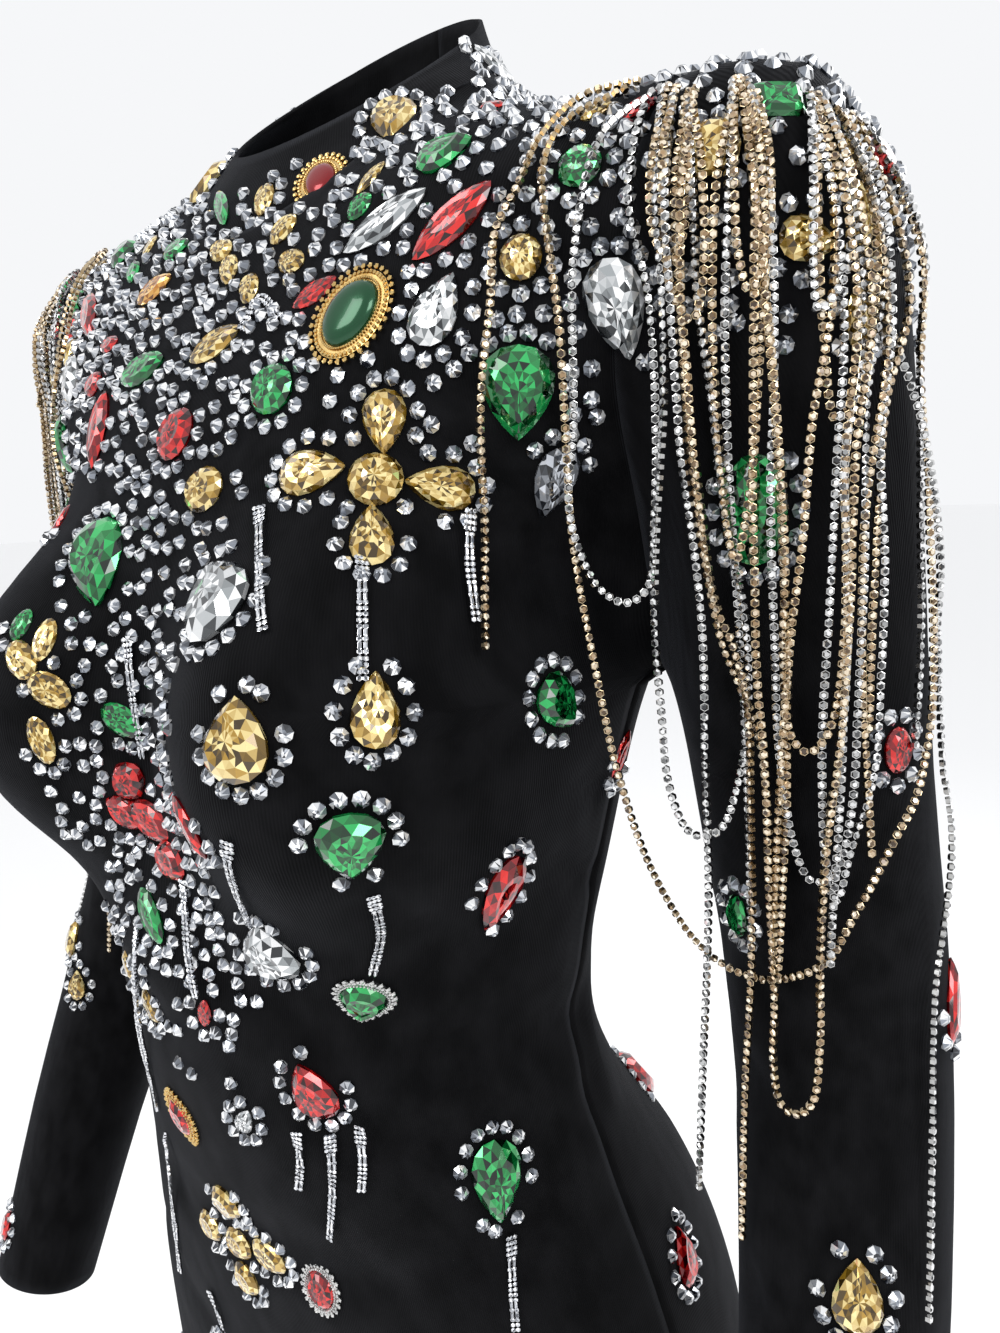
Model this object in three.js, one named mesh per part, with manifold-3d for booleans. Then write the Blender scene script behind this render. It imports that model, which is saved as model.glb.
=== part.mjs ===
// Stage costume dress: a short, fitted dress in black stretch velvet, with long sleeves, a low
// stand collar, a zip down the centre back, raised glass stones and cup chain hung from both
// shoulders. Millimetres, +Z up. The front faces -Y and the wearer's left is +X.
// The origin lies midway between the shoulders, level with the side of the neck.
import * as THREE from 'three';
import { mergeVertices } from 'three/addons/utils/BufferGeometryUtils.js';
import Module from 'manifold-3d';

const wasm = await Module();
wasm.setup();

// Table rows as objects, by the names of their columns
const named = (columns, rows) => rows
  .map((row) => Object.fromEntries(row.map((value, i) => [columns[i], value])));

// Cloth and seams
const WALL = 2;
const SEAM_GAP = 0.44;
const UNDERARM_GAP = 2.4;
const HEM_Z = -840;
const ZIP_END_Z = -470;

// How many facets each piece has
const SHOULDER_COLUMNS = 4;
const HALF_NECK_COLUMNS = 5;
const ARMHOLE_ROWS = 10;
const SIDE_ROWS = 19;
const CAP_RINGS = 5;
const SLEEVE_RINGS = 12;
const COLLAR_ROWS = 3;

// The worn form, as level sections. front and back are measured from middleY.
const SECTIONS = named(['z', 'halfWidth', 'front', 'back', 'middleY', 'roundness'], [
  [12, 56, 46, 52, 2, 2.0],
  [0, 64, 46, 56, 2, 2.0],
  [-12, 72, 46, 58, 4, 2.0],
  [-26, 84, 48, 60, 6, 2.0],
  [-38, 106, 52, 63, 8, 2.0],
  [-46, 138, 57, 66, 8, 2.0],
  [-56, 172, 65, 70, 8, 2.1],
  [-72, 186, 77, 76, 6, 2.3],
  [-100, 184, 90, 84, 4, 2.45],
  [-140, 172, 106, 88, 2, 2.5],
  [-190, 148, 120, 80, 0, 2.4],
  [-250, 139, 126, 70, -6, 2.25],
  [-310, 130, 122, 58, -14, 2.15],
  [-360, 124, 118, 52, -22, 2.1],
  [-400, 121, 110, 58, -26, 2.1],
  [-450, 130, 100, 86, -26, 2.1],
  [-520, 152, 94, 138, -20, 2.15],
  [-600, 172, 90, 160, -14, 2.2],
  [-680, 178, 88, 150, -10, 2.2],
  [-760, 176, 88, 128, -8, 2.2],
  [-860, 170, 88, 112, -6, 2.2],
]);

// The wearer's left sleeve, as the middle of its tube and its radius. The right one mirrors it.
const SLEEVE_LINE = named(['x', 'y', 'z', 'radius'], [
  [181, 6, -100, 51],
  [193, 8, -190, 47],
  [204, 10, -290, 43],
  [218, 5, -380, 40],
  [230, -21, -470, 37],
  [240, -57, -560, 33],
  [250, -95, -665, 29],
]);
const SLEEVE_STEPS = 3;
const CAP_END = 1.95;

// Bust darts round the front out, and soft joins blend it and the sleeves into the body
const CUP = { x: 74, y: -84, z: -266, width: 62, depth: 80, height: 74, blend: 36 };
const SLEEVE_BLEND = 34;
const NECK_CAP_Z = 14;

// Armhole: the middle of its plane, and the line under the arm that the cap's rings turn about
const ARMHOLE_MIDDLE = new THREE.Vector3(160, 4, -148);
const CAP_PIVOT = new THREE.Vector3(146, 4, -285);

// Neck seam and the collar's sloping top edge
const NECK = { middleY: 2, sideZ: -20, frontDrop: 57, backRise: 6, frontPower: 1.6 };
const COLLAR_TOP = { middleY: 4, halfWidth: 54, halfDepth: 58, levelZ: -5, slope: 0.69 };

// The largest creases: side, ends across and up the dress, half width and depth of the trough
const FOLDS = named(['side', 'x1', 'z1', 'x2', 'z2', 'halfWidth', 'depth'], [
  [-1, 20, -352, 122, -402, 15, 4],
  [-1, -118, -344, -16, -392, 15, 3.5],
  [-1, 46, -410, 132, -436, 13, 3],
  [-1, -126, -424, -40, -402, 13, 3],
  [-1, -60, -500, 66, -492, 18, 3],
  [-1, 96, -150, 140, -214, 13, 3],
  [-1, -140, -214, -96, -150, 13, 3],
  [1, -104, -352, 104, -362, 16, 4],
  [1, -112, -404, 60, -398, 14, 3.5],
  [1, 92, -150, 136, -214, 13, 3],
  [1, -136, -214, -92, -150, 13, 3],
  [-1, 186, -352, 242, -372, 12, 3],
  [-1, -242, -372, -186, -352, 12, 3],
  [-1, 196, -404, 252, -392, 12, 3],
  [-1, -252, -392, -196, -404, 12, 3],
]);

// Eye point of the picture the stones were read from: degrees, and pixels for the lens
const EYE = { azimuth: 44, distance: 470, z: -180, yaw: 6.5, pitch: -10.5, roll: -2.5 };
const PICTURE = { middleX: 500, middleY: 666.5, focal: 968 };

// Large sewn stones, placed by their pixel in the picture. turn is clockwise from upright, and
// for a pear it is where the point looks. mirror 1 puts a second one on the other side.
const STONES = named(['cut', 'px', 'py', 'long', 'wide', 'turn', 'mirror'], [
  ['oval', 322, 182, 25, 22, 0, 0],
  ['oval', 352, 315, 38, 31, 35, 0],
  ['pear', 394, 122, 28, 20, 180, 1],
  ['navette', 385, 222, 36, 13, 52, 0],
  ['navette', 452, 222, 36, 14, 45, 1],
  ['pear', 437, 310, 26, 18, 25, 1],
  ['navette', 215, 345, 28, 13, 55, 0],
  ['navette', 143, 370, 30, 14, 60, 0],
  ['pear', 98, 563, 40, 30, 180, 0],
  ['pear', 219, 597, 38, 32, 0, 0],
  ['pear', 237, 740, 27, 25, 0, 0],
  ['pear', 313, 472, 26, 19, 80, 0],
  ['pear', 440, 487, 24, 17, -80, 0],
  ['pear', 372, 535, 24, 17, 0, 0],
  ['pear', 518, 393, 30, 26, 180, 1],
  ['pear', 617, 310, 32, 21, 165, 1],
  ['pear', 553, 483, 26, 17, 200, 1],
  ['oval', 755, 510, 36, 21, 0, 1],
  ['pear', 556, 703, 24, 20, 150, 1],
  ['pear', 350, 845, 25, 24, 180, 0],
  ['pear', 375, 710, 24, 17, 0, 0],
  ['pear', 500, 892, 33, 18, 205, 1],
  ['pear', 270, 950, 27, 26, -25, 0],
  ['oval', 364, 1000, 24, 25, 0, 0],
  ['pear', 313, 1090, 27, 20, -30, 0],
  ['pear', 497, 1180, 33, 22, 175, 1],
  ['pear', 683, 1255, 27, 17, -15, 1],
  ['oval', 495, 68, 24, 11, 110, 1],
]);

// Large stones where the picture does not reach: side -1 is the front, 1 the back
const HIDDEN_STONES = named(['side', 'cut', 'x', 'z', 'long', 'wide', 'turn'], [
  [1, 'pear', 46, -84, 28, 20, 200],
  [1, 'oval', 96, -104, 26, 20, 20],
  [1, 'pear', 60, -168, 32, 24, 180],
  [1, 'navette', 104, -206, 34, 14, 20],
  [1, 'pear', 48, -262, 36, 26, 0],
  [1, 'oval', 84, -330, 30, 22, 30],
  [1, 'pear', 42, -412, 32, 24, 180],
  [1, 'pear', 96, -486, 34, 24, 200],
  [1, 'oval', 52, -560, 36, 26, 0],
  [1, 'pear', 112, -640, 34, 24, 180],
  [1, 'pear', 54, -716, 38, 26, 0],
  [-1, 'pear', 44, -610, 38, 26, 180],
  [-1, 'navette', 112, -664, 36, 15, 30],
  [-1, 'oval', 56, -742, 34, 26, 0],
]);
const STONE_RISE = 0.24;
const STONE_SINKS = [1.1, 1.5];
const STONE_TABLE = 0.56;

// Cup chain hung from the shoulder. laid and back are how many points at each end lie on the
// cloth, and lift is the clearance to it. The points are read in the picture.
const CHAIN = { radius: 1.6, sides: 4, step: 25, rootLift: 3, clear: 9, rootSlope: 1.2 };
const STRIP = { halfWidth: 3, lift: 0.9, thick: 2.7, pace: 4, parted: 0.4 };
const STRIP_PLAN = [[143, -33], [163, -36], [184, -33], [204, -22], [218, -4], [223, 12]];
const STRANDS = [
  { lift: 9, laid: 5, back: 0,
    points: [[620, 98], [572, 128], [520, 190], [492, 290], [480, 400], [484, 530], [486, 660]] },
  { lift: 9, laid: 4, back: 3,
    points: [[632, 98], [592, 128], [560, 200], [566, 400], [586, 560], [625, 603], [650, 540],
      [648, 400], [640, 200], [648, 104]] },
  { lift: 16, laid: 4, back: 3,
    points: [[640, 98], [604, 134], [574, 220], [572, 420], [588, 620], [640, 840], [710, 955],
      [770, 990], [822, 940], [850, 700], [842, 330], [824, 190], [808, 106]] },
  { lift: 12, laid: 3, back: 0,
    points: [[664, 104], [668, 200], [676, 330], [692, 520], [704, 700], [708, 880], [706, 1050],
      [700, 1196]] },
  { lift: 9, laid: 3, back: 3,
    points: [[676, 104], [684, 200], [690, 330], [680, 640], [682, 780], [703, 834], [732, 790],
      [740, 640], [722, 330], [712, 200], [704, 104]] },
  { lift: 14, laid: 3, back: 0,
    points: [[716, 98], [730, 200], [736, 330], [746, 600], [750, 900], [744, 1080], [742, 1246]] },
  { lift: 9, laid: 3, back: 3,
    points: [[730, 94], [750, 200], [758, 330], [766, 600], [768, 900], [776, 1070], [796, 1114],
      [814, 1070], [820, 880], [822, 600], [812, 330], [802, 200], [790, 104]] },
  { lift: 12, laid: 3, back: 3,
    points: [[744, 92], [768, 200], [776, 330], [782, 600], [786, 800], [800, 850], [808, 800],
      [806, 600], [796, 330], [788, 200], [776, 96]] },
  { lift: 9, laid: 3, back: 3,
    points: [[820, 110], [846, 200], [860, 330], [864, 600], [866, 800], [882, 856], [900, 790],
      [908, 600], [902, 330], [882, 200], [846, 124]] },
  { lift: 9, laid: 3, back: 0,
    points: [[834, 116], [864, 200], [878, 330], [884, 560], [886, 720], [884, 800]] },
];

// Zip down the centre back. The tab swings on its top bar, under the slider's bridge.
const ZIP = { halfWidth: 3, thick: 1.4, lift: 0.3 };
const SLIDER = { width: 9, topWidth: 6.4, length: 12, thick: 2.4, z: 20, lift: 0.3 };
const BRIDGE = { width: 1.6, length: 8.2, height: 4.2, bar: 1.2 };
const PULL = { width: 6.4, length: 24, thick: 1.2, bar: 1.2, slot: 2.8, slotLength: 5, axis: 1.9 };

const velvet = new THREE.MeshStandardMaterial({ color: 0x101014, roughness: 0.85, metalness: 0 });
const collarVelvet = new THREE.MeshStandardMaterial({ color: 0x17171c, roughness: 0.85, metalness: 0 });
const chainMetal = new THREE.MeshStandardMaterial({ color: 0xc9b48a, roughness: 0.3, metalness: 0.9 });
const zipCoil = new THREE.MeshStandardMaterial({ color: 0x26262a, roughness: 0.5, metalness: 0 });
const zipMetal = new THREE.MeshStandardMaterial({ color: 0x9a9ca0, roughness: 0.35, metalness: 1 });

const vec = (x, y, z) => new THREE.Vector3(x, y, z);
const radians = THREE.MathUtils.degToRad;

// Smooth curve through table rows, which gives a row's other values at any place between them
function tableCurve(rows, key) {
  const sorted = [...rows].sort((a, b) => a[key] - b[key]);
  const at = sorted.map((row) => row[key]);
  const last = at.length - 1;
  const names = Object.keys(sorted[0]).filter((name) => name !== key);
  const slopeOf = (name, i) => {
    const value = (k) => sorted[k][name];
    if (i === 0) return (value(1) - value(0)) / (at[1] - at[0]);
    if (i === last) return (value(last) - value(last - 1)) / (at[last] - at[last - 1]);
    const before = at[i] - at[i - 1];
    const after = at[i + 1] - at[i];
    const rise = before * before * value(i + 1) - after * after * value(i - 1);
    return (rise + (after * after - before * before) * value(i)) / (before * after * (before + after));
  };
  const slopes = names.map((name) => sorted.map((_, i) => slopeOf(name, i)));
  return (place) => {
    const x = Math.min(Math.max(place, at[0]), at[last]);
    let i = 0;
    while (i < last - 1 && x > at[i + 1]) i += 1;
    const gap = at[i + 1] - at[i];
    const u = (x - at[i]) / gap;
    const [u2, u3] = [u * u, u * u * u];
    const found = {};
    names.forEach((name, k) => {
      found[name] = sorted[i][name] * (2 * u3 - 3 * u2 + 1)
        + slopes[k][i] * gap * (u3 - 2 * u2 + u)
        + sorted[i + 1][name] * (3 * u2 - 2 * u3)
        + slopes[k][i + 1] * gap * (u3 - u2);
    });
    return found;
  };
}

const sectionAt = tableCurve(SECTIONS, 'z');
const sleeveAt = tableCurve(SLEEVE_LINE.map((row, place) => ({ place, ...row })), 'place');
const sleeveTube = Array.from(
  { length: (SLEEVE_LINE.length - 1) * SLEEVE_STEPS + 1 },
  (_, i) => sleeveAt(i / SLEEVE_STEPS),
);

function bodyLevel(x, y, z) {
  const { halfWidth, front, back, middleY, roundness } = sectionAt(z);
  const along = y - middleY;
  const depth = along < 0 ? front : back;
  const power = (Math.abs(x) / halfWidth) ** roundness + (Math.abs(along) / depth) ** roundness;
  const reach = power ** (1 / roundness) + 1e-9;
  return Math.hypot(x, along) * (1 - 1 / reach) + Math.max(z - NECK_CAP_Z, 0);
}

function bodyDistance(x, y, z) {
  const e = 0.5;
  const slope = Math.hypot(
    bodyLevel(x + e, y, z) - bodyLevel(x - e, y, z),
    bodyLevel(x, y + e, z) - bodyLevel(x, y - e, z),
    bodyLevel(x, y, z + e) - bodyLevel(x, y, z - e),
  ) / (2 * e);
  return bodyLevel(x, y, z) / Math.max(slope, 1);
}

function cupDistance(x, y, z) {
  const [dx, dy, dz] = [Math.abs(x) - CUP.x, y - CUP.y, z - CUP.z];
  const near = Math.hypot(dx / CUP.width, dy / CUP.depth, dz / CUP.height) + 1e-9;
  const fall = Math.hypot(dx / CUP.width ** 2, dy / CUP.depth ** 2, dz / CUP.height ** 2) + 1e-12;
  return near * (near - 1) / fall;
}

function sleeveDistance(x, y, z) {
  let best = Infinity;
  for (let i = 0; i + 1 < sleeveTube.length; i += 1) {
    const [a, b] = [sleeveTube[i], sleeveTube[i + 1]];
    const [ux, uy, uz] = [b.x - a.x, b.y - a.y, b.z - a.z];
    const [px, py, pz] = [Math.abs(x) - a.x, y - a.y, z - a.z];
    const along = (px * ux + py * uy + pz * uz) / (ux * ux + uy * uy + uz * uz);
    const t = Math.min(Math.max(along, 0), 1);
    const radius = a.radius + (b.radius - a.radius) * t;
    best = Math.min(best, Math.hypot(px - t * ux, py - t * uy, pz - t * uz) - radius);
  }
  return best;
}

function softMin(a, b, width) {
  const overlap = Math.max(width - Math.abs(a - b), 0);
  return Math.min(a, b) - overlap * overlap / (4 * width);
}

function bodiceDistance(p) {
  return softMin(bodyDistance(p.x, p.y, p.z), cupDistance(p.x, p.y, p.z), CUP.blend);
}

// Distance from the cloth's outer face, below zero inside the worn form
function clothDistance(p) {
  return softMin(bodiceDistance(p), sleeveDistance(p.x, p.y, p.z), SLEEVE_BLEND);
}

function clothNormal(p) {
  const e = 0.6;
  const side = (axis) => {
    const ahead = p.clone();
    const behind = p.clone();
    ahead[axis] += e;
    behind[axis] -= e;
    return clothDistance(ahead) - clothDistance(behind);
  };
  return vec(side('x'), side('y'), side('z')).normalize();
}

// From a point inside the form, go outwards to the cloth. The first step leaves the middle,
// where the level sections give no distance.
const FIRST_STEP = 8;
function outwardTo(from, towards, distance = clothDistance) {
  const way = towards.clone().sub(from).normalize();
  const p = from.clone().addScaledVector(way, FIRST_STEP);
  for (let i = 0; i < 60; i += 1) {
    p.addScaledVector(way, THREE.MathUtils.clamp(-distance(p), -30, 30) * 0.8);
  }
  return p;
}

// From a point outside, go inwards along a line until the cloth, or return null past reach
function inwardTo(from, way, reach) {
  const p = from.clone();
  let gone = 0;
  while (gone < reach) {
    const gap = clothDistance(p);
    if (gap < 0.05) return p;
    const pace = Math.max(gap * 0.7, 0.1);
    p.addScaledVector(way, pace);
    gone += pace;
  }
  return null;
}

function foldDepth(p) {
  const { middleY } = sectionAt(p.z);
  let sum = 0;
  for (const { side, x1, z1, x2, z2, halfWidth, depth } of FOLDS) {
    if ((p.y - middleY) * side < -12) continue;
    const [ux, uz] = [x2 - x1, z2 - z1];
    const t = ((p.x - x1) * ux + (p.z - z1) * uz) / (ux * ux + uz * uz);
    const held = Math.min(Math.max(t, 0), 1);
    const off = Math.hypot(p.x - x1 - held * ux, p.z - z1 - held * uz) / halfWidth;
    sum += depth * Math.exp(-off * off);
  }
  return sum;
}

const creased = (p) => p.clone().addScaledVector(clothNormal(p), -foldDepth(p));

// Move a point that is near the cloth on to it, square to the cloth
function ontoCloth(near) {
  const p = near.clone();
  for (let i = 0; i < 8; i += 1) {
    p.addScaledVector(clothNormal(p), -THREE.MathUtils.clamp(clothDistance(p), -12, 12));
  }
  return p;
}

const INNER_SHARE = 0.8;

// Where a loose guess of a panel point belongs on the cloth: level with the guess below the
// shoulders, and square to the cloth above them
function settle(guess) {
  const { middleY } = sectionAt(guess.z);
  const below = THREE.MathUtils.smoothstep(-guess.z, 80, 140);
  const inner = vec(guess.x * INNER_SHARE, middleY, guess.z);
  const level = outwardTo(inner, guess, bodiceDistance);
  return ontoCloth(guess.clone().lerp(level, below));
}

// Neck seam point. turn runs from 0 at the front, by 90 at the wearer's left, to 180 behind.
function neckPoint(turn) {
  const c = Math.cos(radians(turn));
  const drop = NECK.frontDrop * Math.max(c, 0) ** NECK.frontPower;
  const z = NECK.sideZ - drop + NECK.backRise * Math.max(-c, 0);
  const from = vec(0, NECK.middleY, z);
  return outwardTo(from, from.clone().add(vec(Math.sin(radians(turn)), -c, 0)));
}

// Ring of the sleeve cap on the wearer's left. part 0 is the armhole, and 1 the cap's end.
// turn runs from 0 on top, by 90 at the front, to 180 under the arm and on round the back.
function capPoint(part, turn) {
  const end = sleeveAt(CAP_END);
  const middle = ARMHOLE_MIDDLE.clone().lerp(vec(end.x, end.y, end.z), part);
  const up = middle.clone().sub(CAP_PIVOT).setY(0).normalize();
  const way = up.multiplyScalar(Math.cos(radians(turn)));
  way.y -= Math.sin(radians(turn));
  return outwardTo(middle, middle.clone().add(way));
}

function sleevePoint(place, turn) {
  const at = (s) => {
    const { x, y, z } = sleeveAt(s);
    return vec(x, y, z);
  };
  const middle = at(place);
  const down = at(place + 0.05).sub(at(place - 0.05)).normalize();
  const out = vec(1, 0, 0).addScaledVector(down, -down.x).normalize();
  const front = out.clone().cross(down).normalize();
  const way = out.multiplyScalar(Math.cos(radians(turn)))
    .addScaledVector(front, Math.sin(radians(turn)) * Math.sign(-front.y));
  return outwardTo(middle, middle.clone().add(way));
}

const mirrored = (p) => vec(-p.x, p.y, p.z);
const ARMHOLE_STEP = 180 / ARMHOLE_ROWS;
const ROWS = ARMHOLE_ROWS + SIDE_ROWS;
const armholePoint = (row, facing) => capPoint(0, facing * row * ARMHOLE_STEP);
const UNDERARM = armholePoint(ARMHOLE_ROWS, 1);
const SHOULDER = armholePoint(0, 1);

function sideZ(row) {
  return UNDERARM.z + (HEM_Z - UNDERARM.z) * (row - ARMHOLE_ROWS) / SIDE_ROWS;
}

// Edge of a body panel at the wearer's left: armhole, then side seam. facing is 1 for the front.
function sideEdge(row, facing) {
  if (row <= ARMHOLE_ROWS) return armholePoint(row, facing);
  const z = sideZ(row);
  const { halfWidth, middleY } = sectionAt(z);
  const from = vec(halfWidth * 0.7, middleY, z);
  return outwardTo(from, from.clone().add(vec(1, 0, 0)));
}

function shoulderPoint(part) {
  return settle(neckPoint(90).lerp(SHOULDER, part));
}

function hemPoint(turn) {
  const { middleY } = sectionAt(HEM_Z);
  const from = vec(0, middleY, HEM_Z);
  const way = vec(Math.sin(radians(turn)), -Math.cos(radians(turn)), 0);
  return outwardTo(from, from.clone().add(way));
}

// Centre back seam
function centreBack(row) {
  const neckZ = neckPoint(180).z;
  const z = row <= ARMHOLE_ROWS
    ? neckZ + (UNDERARM.z - neckZ) * row / ARMHOLE_ROWS
    : sideZ(row);
  const { middleY } = sectionAt(z);
  return outwardTo(vec(0, middleY, z), vec(0, middleY + 1, z));
}

// Space a row's inner points evenly along it by share, and put them back on the cloth
function evenly(line, share) {
  const lengths = [0];
  line.slice(1).forEach((p, j) => lengths.push(lengths[j] + p.distanceTo(line[j])));
  const last = line.length - 1;
  return line.map((p, j) => {
    if (j === 0 || j === last) return p;
    const place = THREE.MathUtils.lerp(lengths[j], lengths[last] * j / last, share);
    const k = lengths.findIndex((length) => length > place);
    const part = (place - lengths[k - 1]) / (lengths[k] - lengths[k - 1]);
    return ontoCloth(line[k - 1].clone().lerp(line[k], part));
  });
}

// Fill a panel between its four edges, with the inner points settled on the cloth. The top
// edge's shape and spacing fade down the panel.
const EVEN_ROWS = 7;
function fillPanel(top, bottom, start, end) {
  const columns = top.length - 1;
  const rows = start.length - 1;
  return start.map((_, i) => {
    const fade = (1 - i / rows) ** 3;
    const line = top.map((_, j) => {
      const across = j / columns;
      const chord = (edge) => edge[0].clone().lerp(edge[columns], across);
      const guess = start[i].clone().lerp(end[i], across)
        .addScaledVector(top[j].clone().sub(chord(top)), fade)
        .addScaledVector(bottom[j].clone().sub(chord(bottom)), 1 - fade);
      const onEdge = i === 0 || i === rows || j === 0 || j === columns;
      return onEdge ? guess : settle(guess);
    });
    return i === 0 || i === rows ? line : evenly(line, Math.min(i / EVEN_ROWS, 1));
  });
}

const countTo = (last) => Array.from({ length: last + 1 }, (_, i) => i);

function frontGrid() {
  const shoulder = countTo(SHOULDER_COLUMNS).map((i) => shoulderPoint(i / SHOULDER_COLUMNS));
  const neckStep = 90 / HALF_NECK_COLUMNS;
  const neck = countTo(2 * HALF_NECK_COLUMNS).map((i) => neckPoint(i * neckStep - 90));
  const top = [
    ...shoulder.slice(1).reverse().map(mirrored),
    ...neck,
    ...shoulder.slice(1),
  ];
  const columns = top.length - 1;
  const bottom = countTo(columns).map((j) => hemPoint(180 * j / columns - 90));
  const end = countTo(ROWS).map((i) => sideEdge(i, 1));
  return fillPanel(top, bottom, end.map(mirrored), end);
}

function backGrid(side) {
  const neckStep = 90 / HALF_NECK_COLUMNS;
  const neck = countTo(HALF_NECK_COLUMNS).map((i) => neckPoint(180 - i * neckStep));
  const shoulder = countTo(SHOULDER_COLUMNS).slice(1).map((i) => shoulderPoint(i / SHOULDER_COLUMNS));
  const top = [...neck, ...shoulder];
  const columns = top.length - 1;
  const bottom = countTo(columns).map((j) => hemPoint(180 - 90 * j / columns));
  const start = countTo(ROWS).map(centreBack);
  const end = countTo(ROWS).map((i) => sideEdge(i, -1));
  const grid = fillPanel(top, bottom, start, end);
  return side > 0 ? grid : grid.map((line) => line.map(mirrored));
}

function sleeveGrid(side) {
  const turns = countTo(2 * ARMHOLE_ROWS).map((i) => i * ARMHOLE_STEP);
  const cap = countTo(CAP_RINGS).map((i) => 1 - (1 - i / CAP_RINGS) ** 1.5);
  const lastRow = SLEEVE_LINE.length - 1;
  const firstTube = CAP_END + 0.3;
  const tube = countTo(SLEEVE_RINGS - 1)
    .map((i) => firstTube + (lastRow - 0.05 - firstTube) * i / (SLEEVE_RINGS - 1));
  const grid = [
    ...cap.map((part) => turns.map((turn) => capPoint(part, turn))),
    ...tube.map((place) => turns.map((turn) => sleevePoint(place, turn))),
  ];
  return side > 0 ? grid : grid.map((line) => line.map(mirrored));
}

// Collar from the neck seam up to its sloping edge, open by a hair at the centre back
function collarGrid() {
  const columns = 4 * HALF_NECK_COLUMNS;
  return countTo(COLLAR_ROWS).map((i) => countTo(columns).map((j) => {
    const turn = 180 - 360 * j / columns;
    const up = i / COLLAR_ROWS;
    const c = Math.cos(radians(turn));
    const y = COLLAR_TOP.middleY - COLLAR_TOP.halfDepth * c;
    const top = vec(COLLAR_TOP.halfWidth * Math.sin(radians(turn)), y,
      COLLAR_TOP.levelZ + COLLAR_TOP.slope * y);
    return neckPoint(turn).lerp(top, up);
  }));
}

// Move a panel's edges in by half the seam gap, square to the edge
function openSeams(grid, closedRound) {
  const rows = grid.length - 1;
  const columns = grid[0].length - 1;
  const moved = grid.map((line) => line.map((p) => p.clone()));
  const shift = (i, j, inner, before, after) => {
    const edge = after.clone().sub(before).normalize();
    const way = inner.clone().sub(grid[i][j]);
    way.addScaledVector(edge, -way.dot(edge)).normalize();
    const atUnderarm = Math.abs(Math.abs(grid[i][j].x) - UNDERARM.x) < 12
      && Math.abs(grid[i][j].z - UNDERARM.z) < 30;
    moved[i][j].addScaledVector(way, (atUnderarm ? UNDERARM_GAP : SEAM_GAP) / 2);
  };
  const held = (value, last) => Math.min(Math.max(value, 0), last);
  for (let j = 0; j <= columns; j += 1) {
    const before = closedRound && j === 0 ? columns - 1 : held(j - 1, columns);
    const after = closedRound && j === columns ? 1 : held(j + 1, columns);
    shift(0, j, grid[1][j], grid[0][before], grid[0][after]);
  }
  if (!closedRound) {
    for (let i = 0; i <= rows; i += 1) {
      const [before, after] = [held(i - 1, rows), held(i + 1, rows)];
      shift(i, 0, grid[i][1], grid[before][0], grid[after][0]);
      shift(i, columns, grid[i][columns - 1], grid[before][columns], grid[after][columns]);
    }
  }
  return moved;
}

// Facet normals averaged at each point, for pieces that do not lie on the worn form
function gridNormals(grid) {
  const rows = grid.length - 1;
  const columns = grid[0].length - 1;
  return grid.map((line, i) => line.map((p, j) => {
    const down = grid[Math.min(i + 1, rows)][j].clone().sub(grid[Math.max(i - 1, 0)][j]);
    const closed = grid[i][0].distanceTo(grid[i][columns]) < 1;
    const before = j > 0 ? j - 1 : closed ? columns - 1 : 0;
    const after = j < columns ? j + 1 : closed ? 1 : columns;
    const across = grid[i][after].clone().sub(grid[i][before]);
    const n = down.cross(across).normalize();
    const out = vec(p.x, p.y - NECK.middleY, 0);
    return n.dot(out) < 0 ? n.negate() : n;
  }));
}

// Closed wall from a grid of outer points: outer face, inner face and rims
function wallGeometry(outer, normals, thick, closedRound) {
  const rows = outer.length;
  const columns = outer[0].length - (closedRound ? 1 : 0);
  const positions = [];
  for (const depth of [0, thick]) {
    for (let i = 0; i < rows; i += 1) {
      for (let j = 0; j < columns; j += 1) {
        const p = outer[i][j].clone().addScaledVector(normals[i][j], -depth);
        positions.push(p.x, p.y, p.z);
      }
    }
  }
  const inside = rows * columns;
  const at = (i, j) => i * columns + (j % columns);
  const faces = [];
  const quad = (a, b, c, d) => faces.push(a, b, c, a, c, d);
  const lastColumn = closedRound ? columns : columns - 1;
  for (let i = 0; i + 1 < rows; i += 1) {
    for (let j = 0; j < lastColumn; j += 1) {
      const [a, b, c, d] = [at(i, j), at(i + 1, j), at(i + 1, j + 1), at(i, j + 1)];
      quad(a, b, c, d);
      quad(inside + a, inside + d, inside + c, inside + b);
    }
  }
  for (let j = 0; j < lastColumn; j += 1) {
    const [a, b] = [at(0, j), at(0, j + 1)];
    const [c, d] = [at(rows - 1, j), at(rows - 1, j + 1)];
    quad(a, b, inside + b, inside + a);
    quad(d, c, inside + c, inside + d);
  }
  if (!closedRound) {
    for (let i = 0; i + 1 < rows; i += 1) {
      const [a, b] = [at(i, 0), at(i + 1, 0)];
      const [c, d] = [at(i, columns - 1), at(i + 1, columns - 1)];
      quad(b, a, inside + a, inside + b);
      quad(c, d, inside + d, inside + c);
    }
  }
  return closedShape(positions, faces);
}

// Geometry of a closed shape, its faces turned to point outwards
function closedShape(positions, faces) {
  const corner = (i) => vec(...positions.slice(3 * faces[i], 3 * faces[i] + 3));
  let volume = 0;
  for (let i = 0; i < faces.length; i += 3) {
    volume += corner(i).dot(corner(i + 1).cross(corner(i + 2)));
  }
  const geometry = new THREE.BufferGeometry();
  geometry.setAttribute('position', new THREE.Float32BufferAttribute(positions, 3));
  geometry.setIndex(volume < 0 ? [...faces].reverse() : faces);
  return geometry;
}

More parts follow.
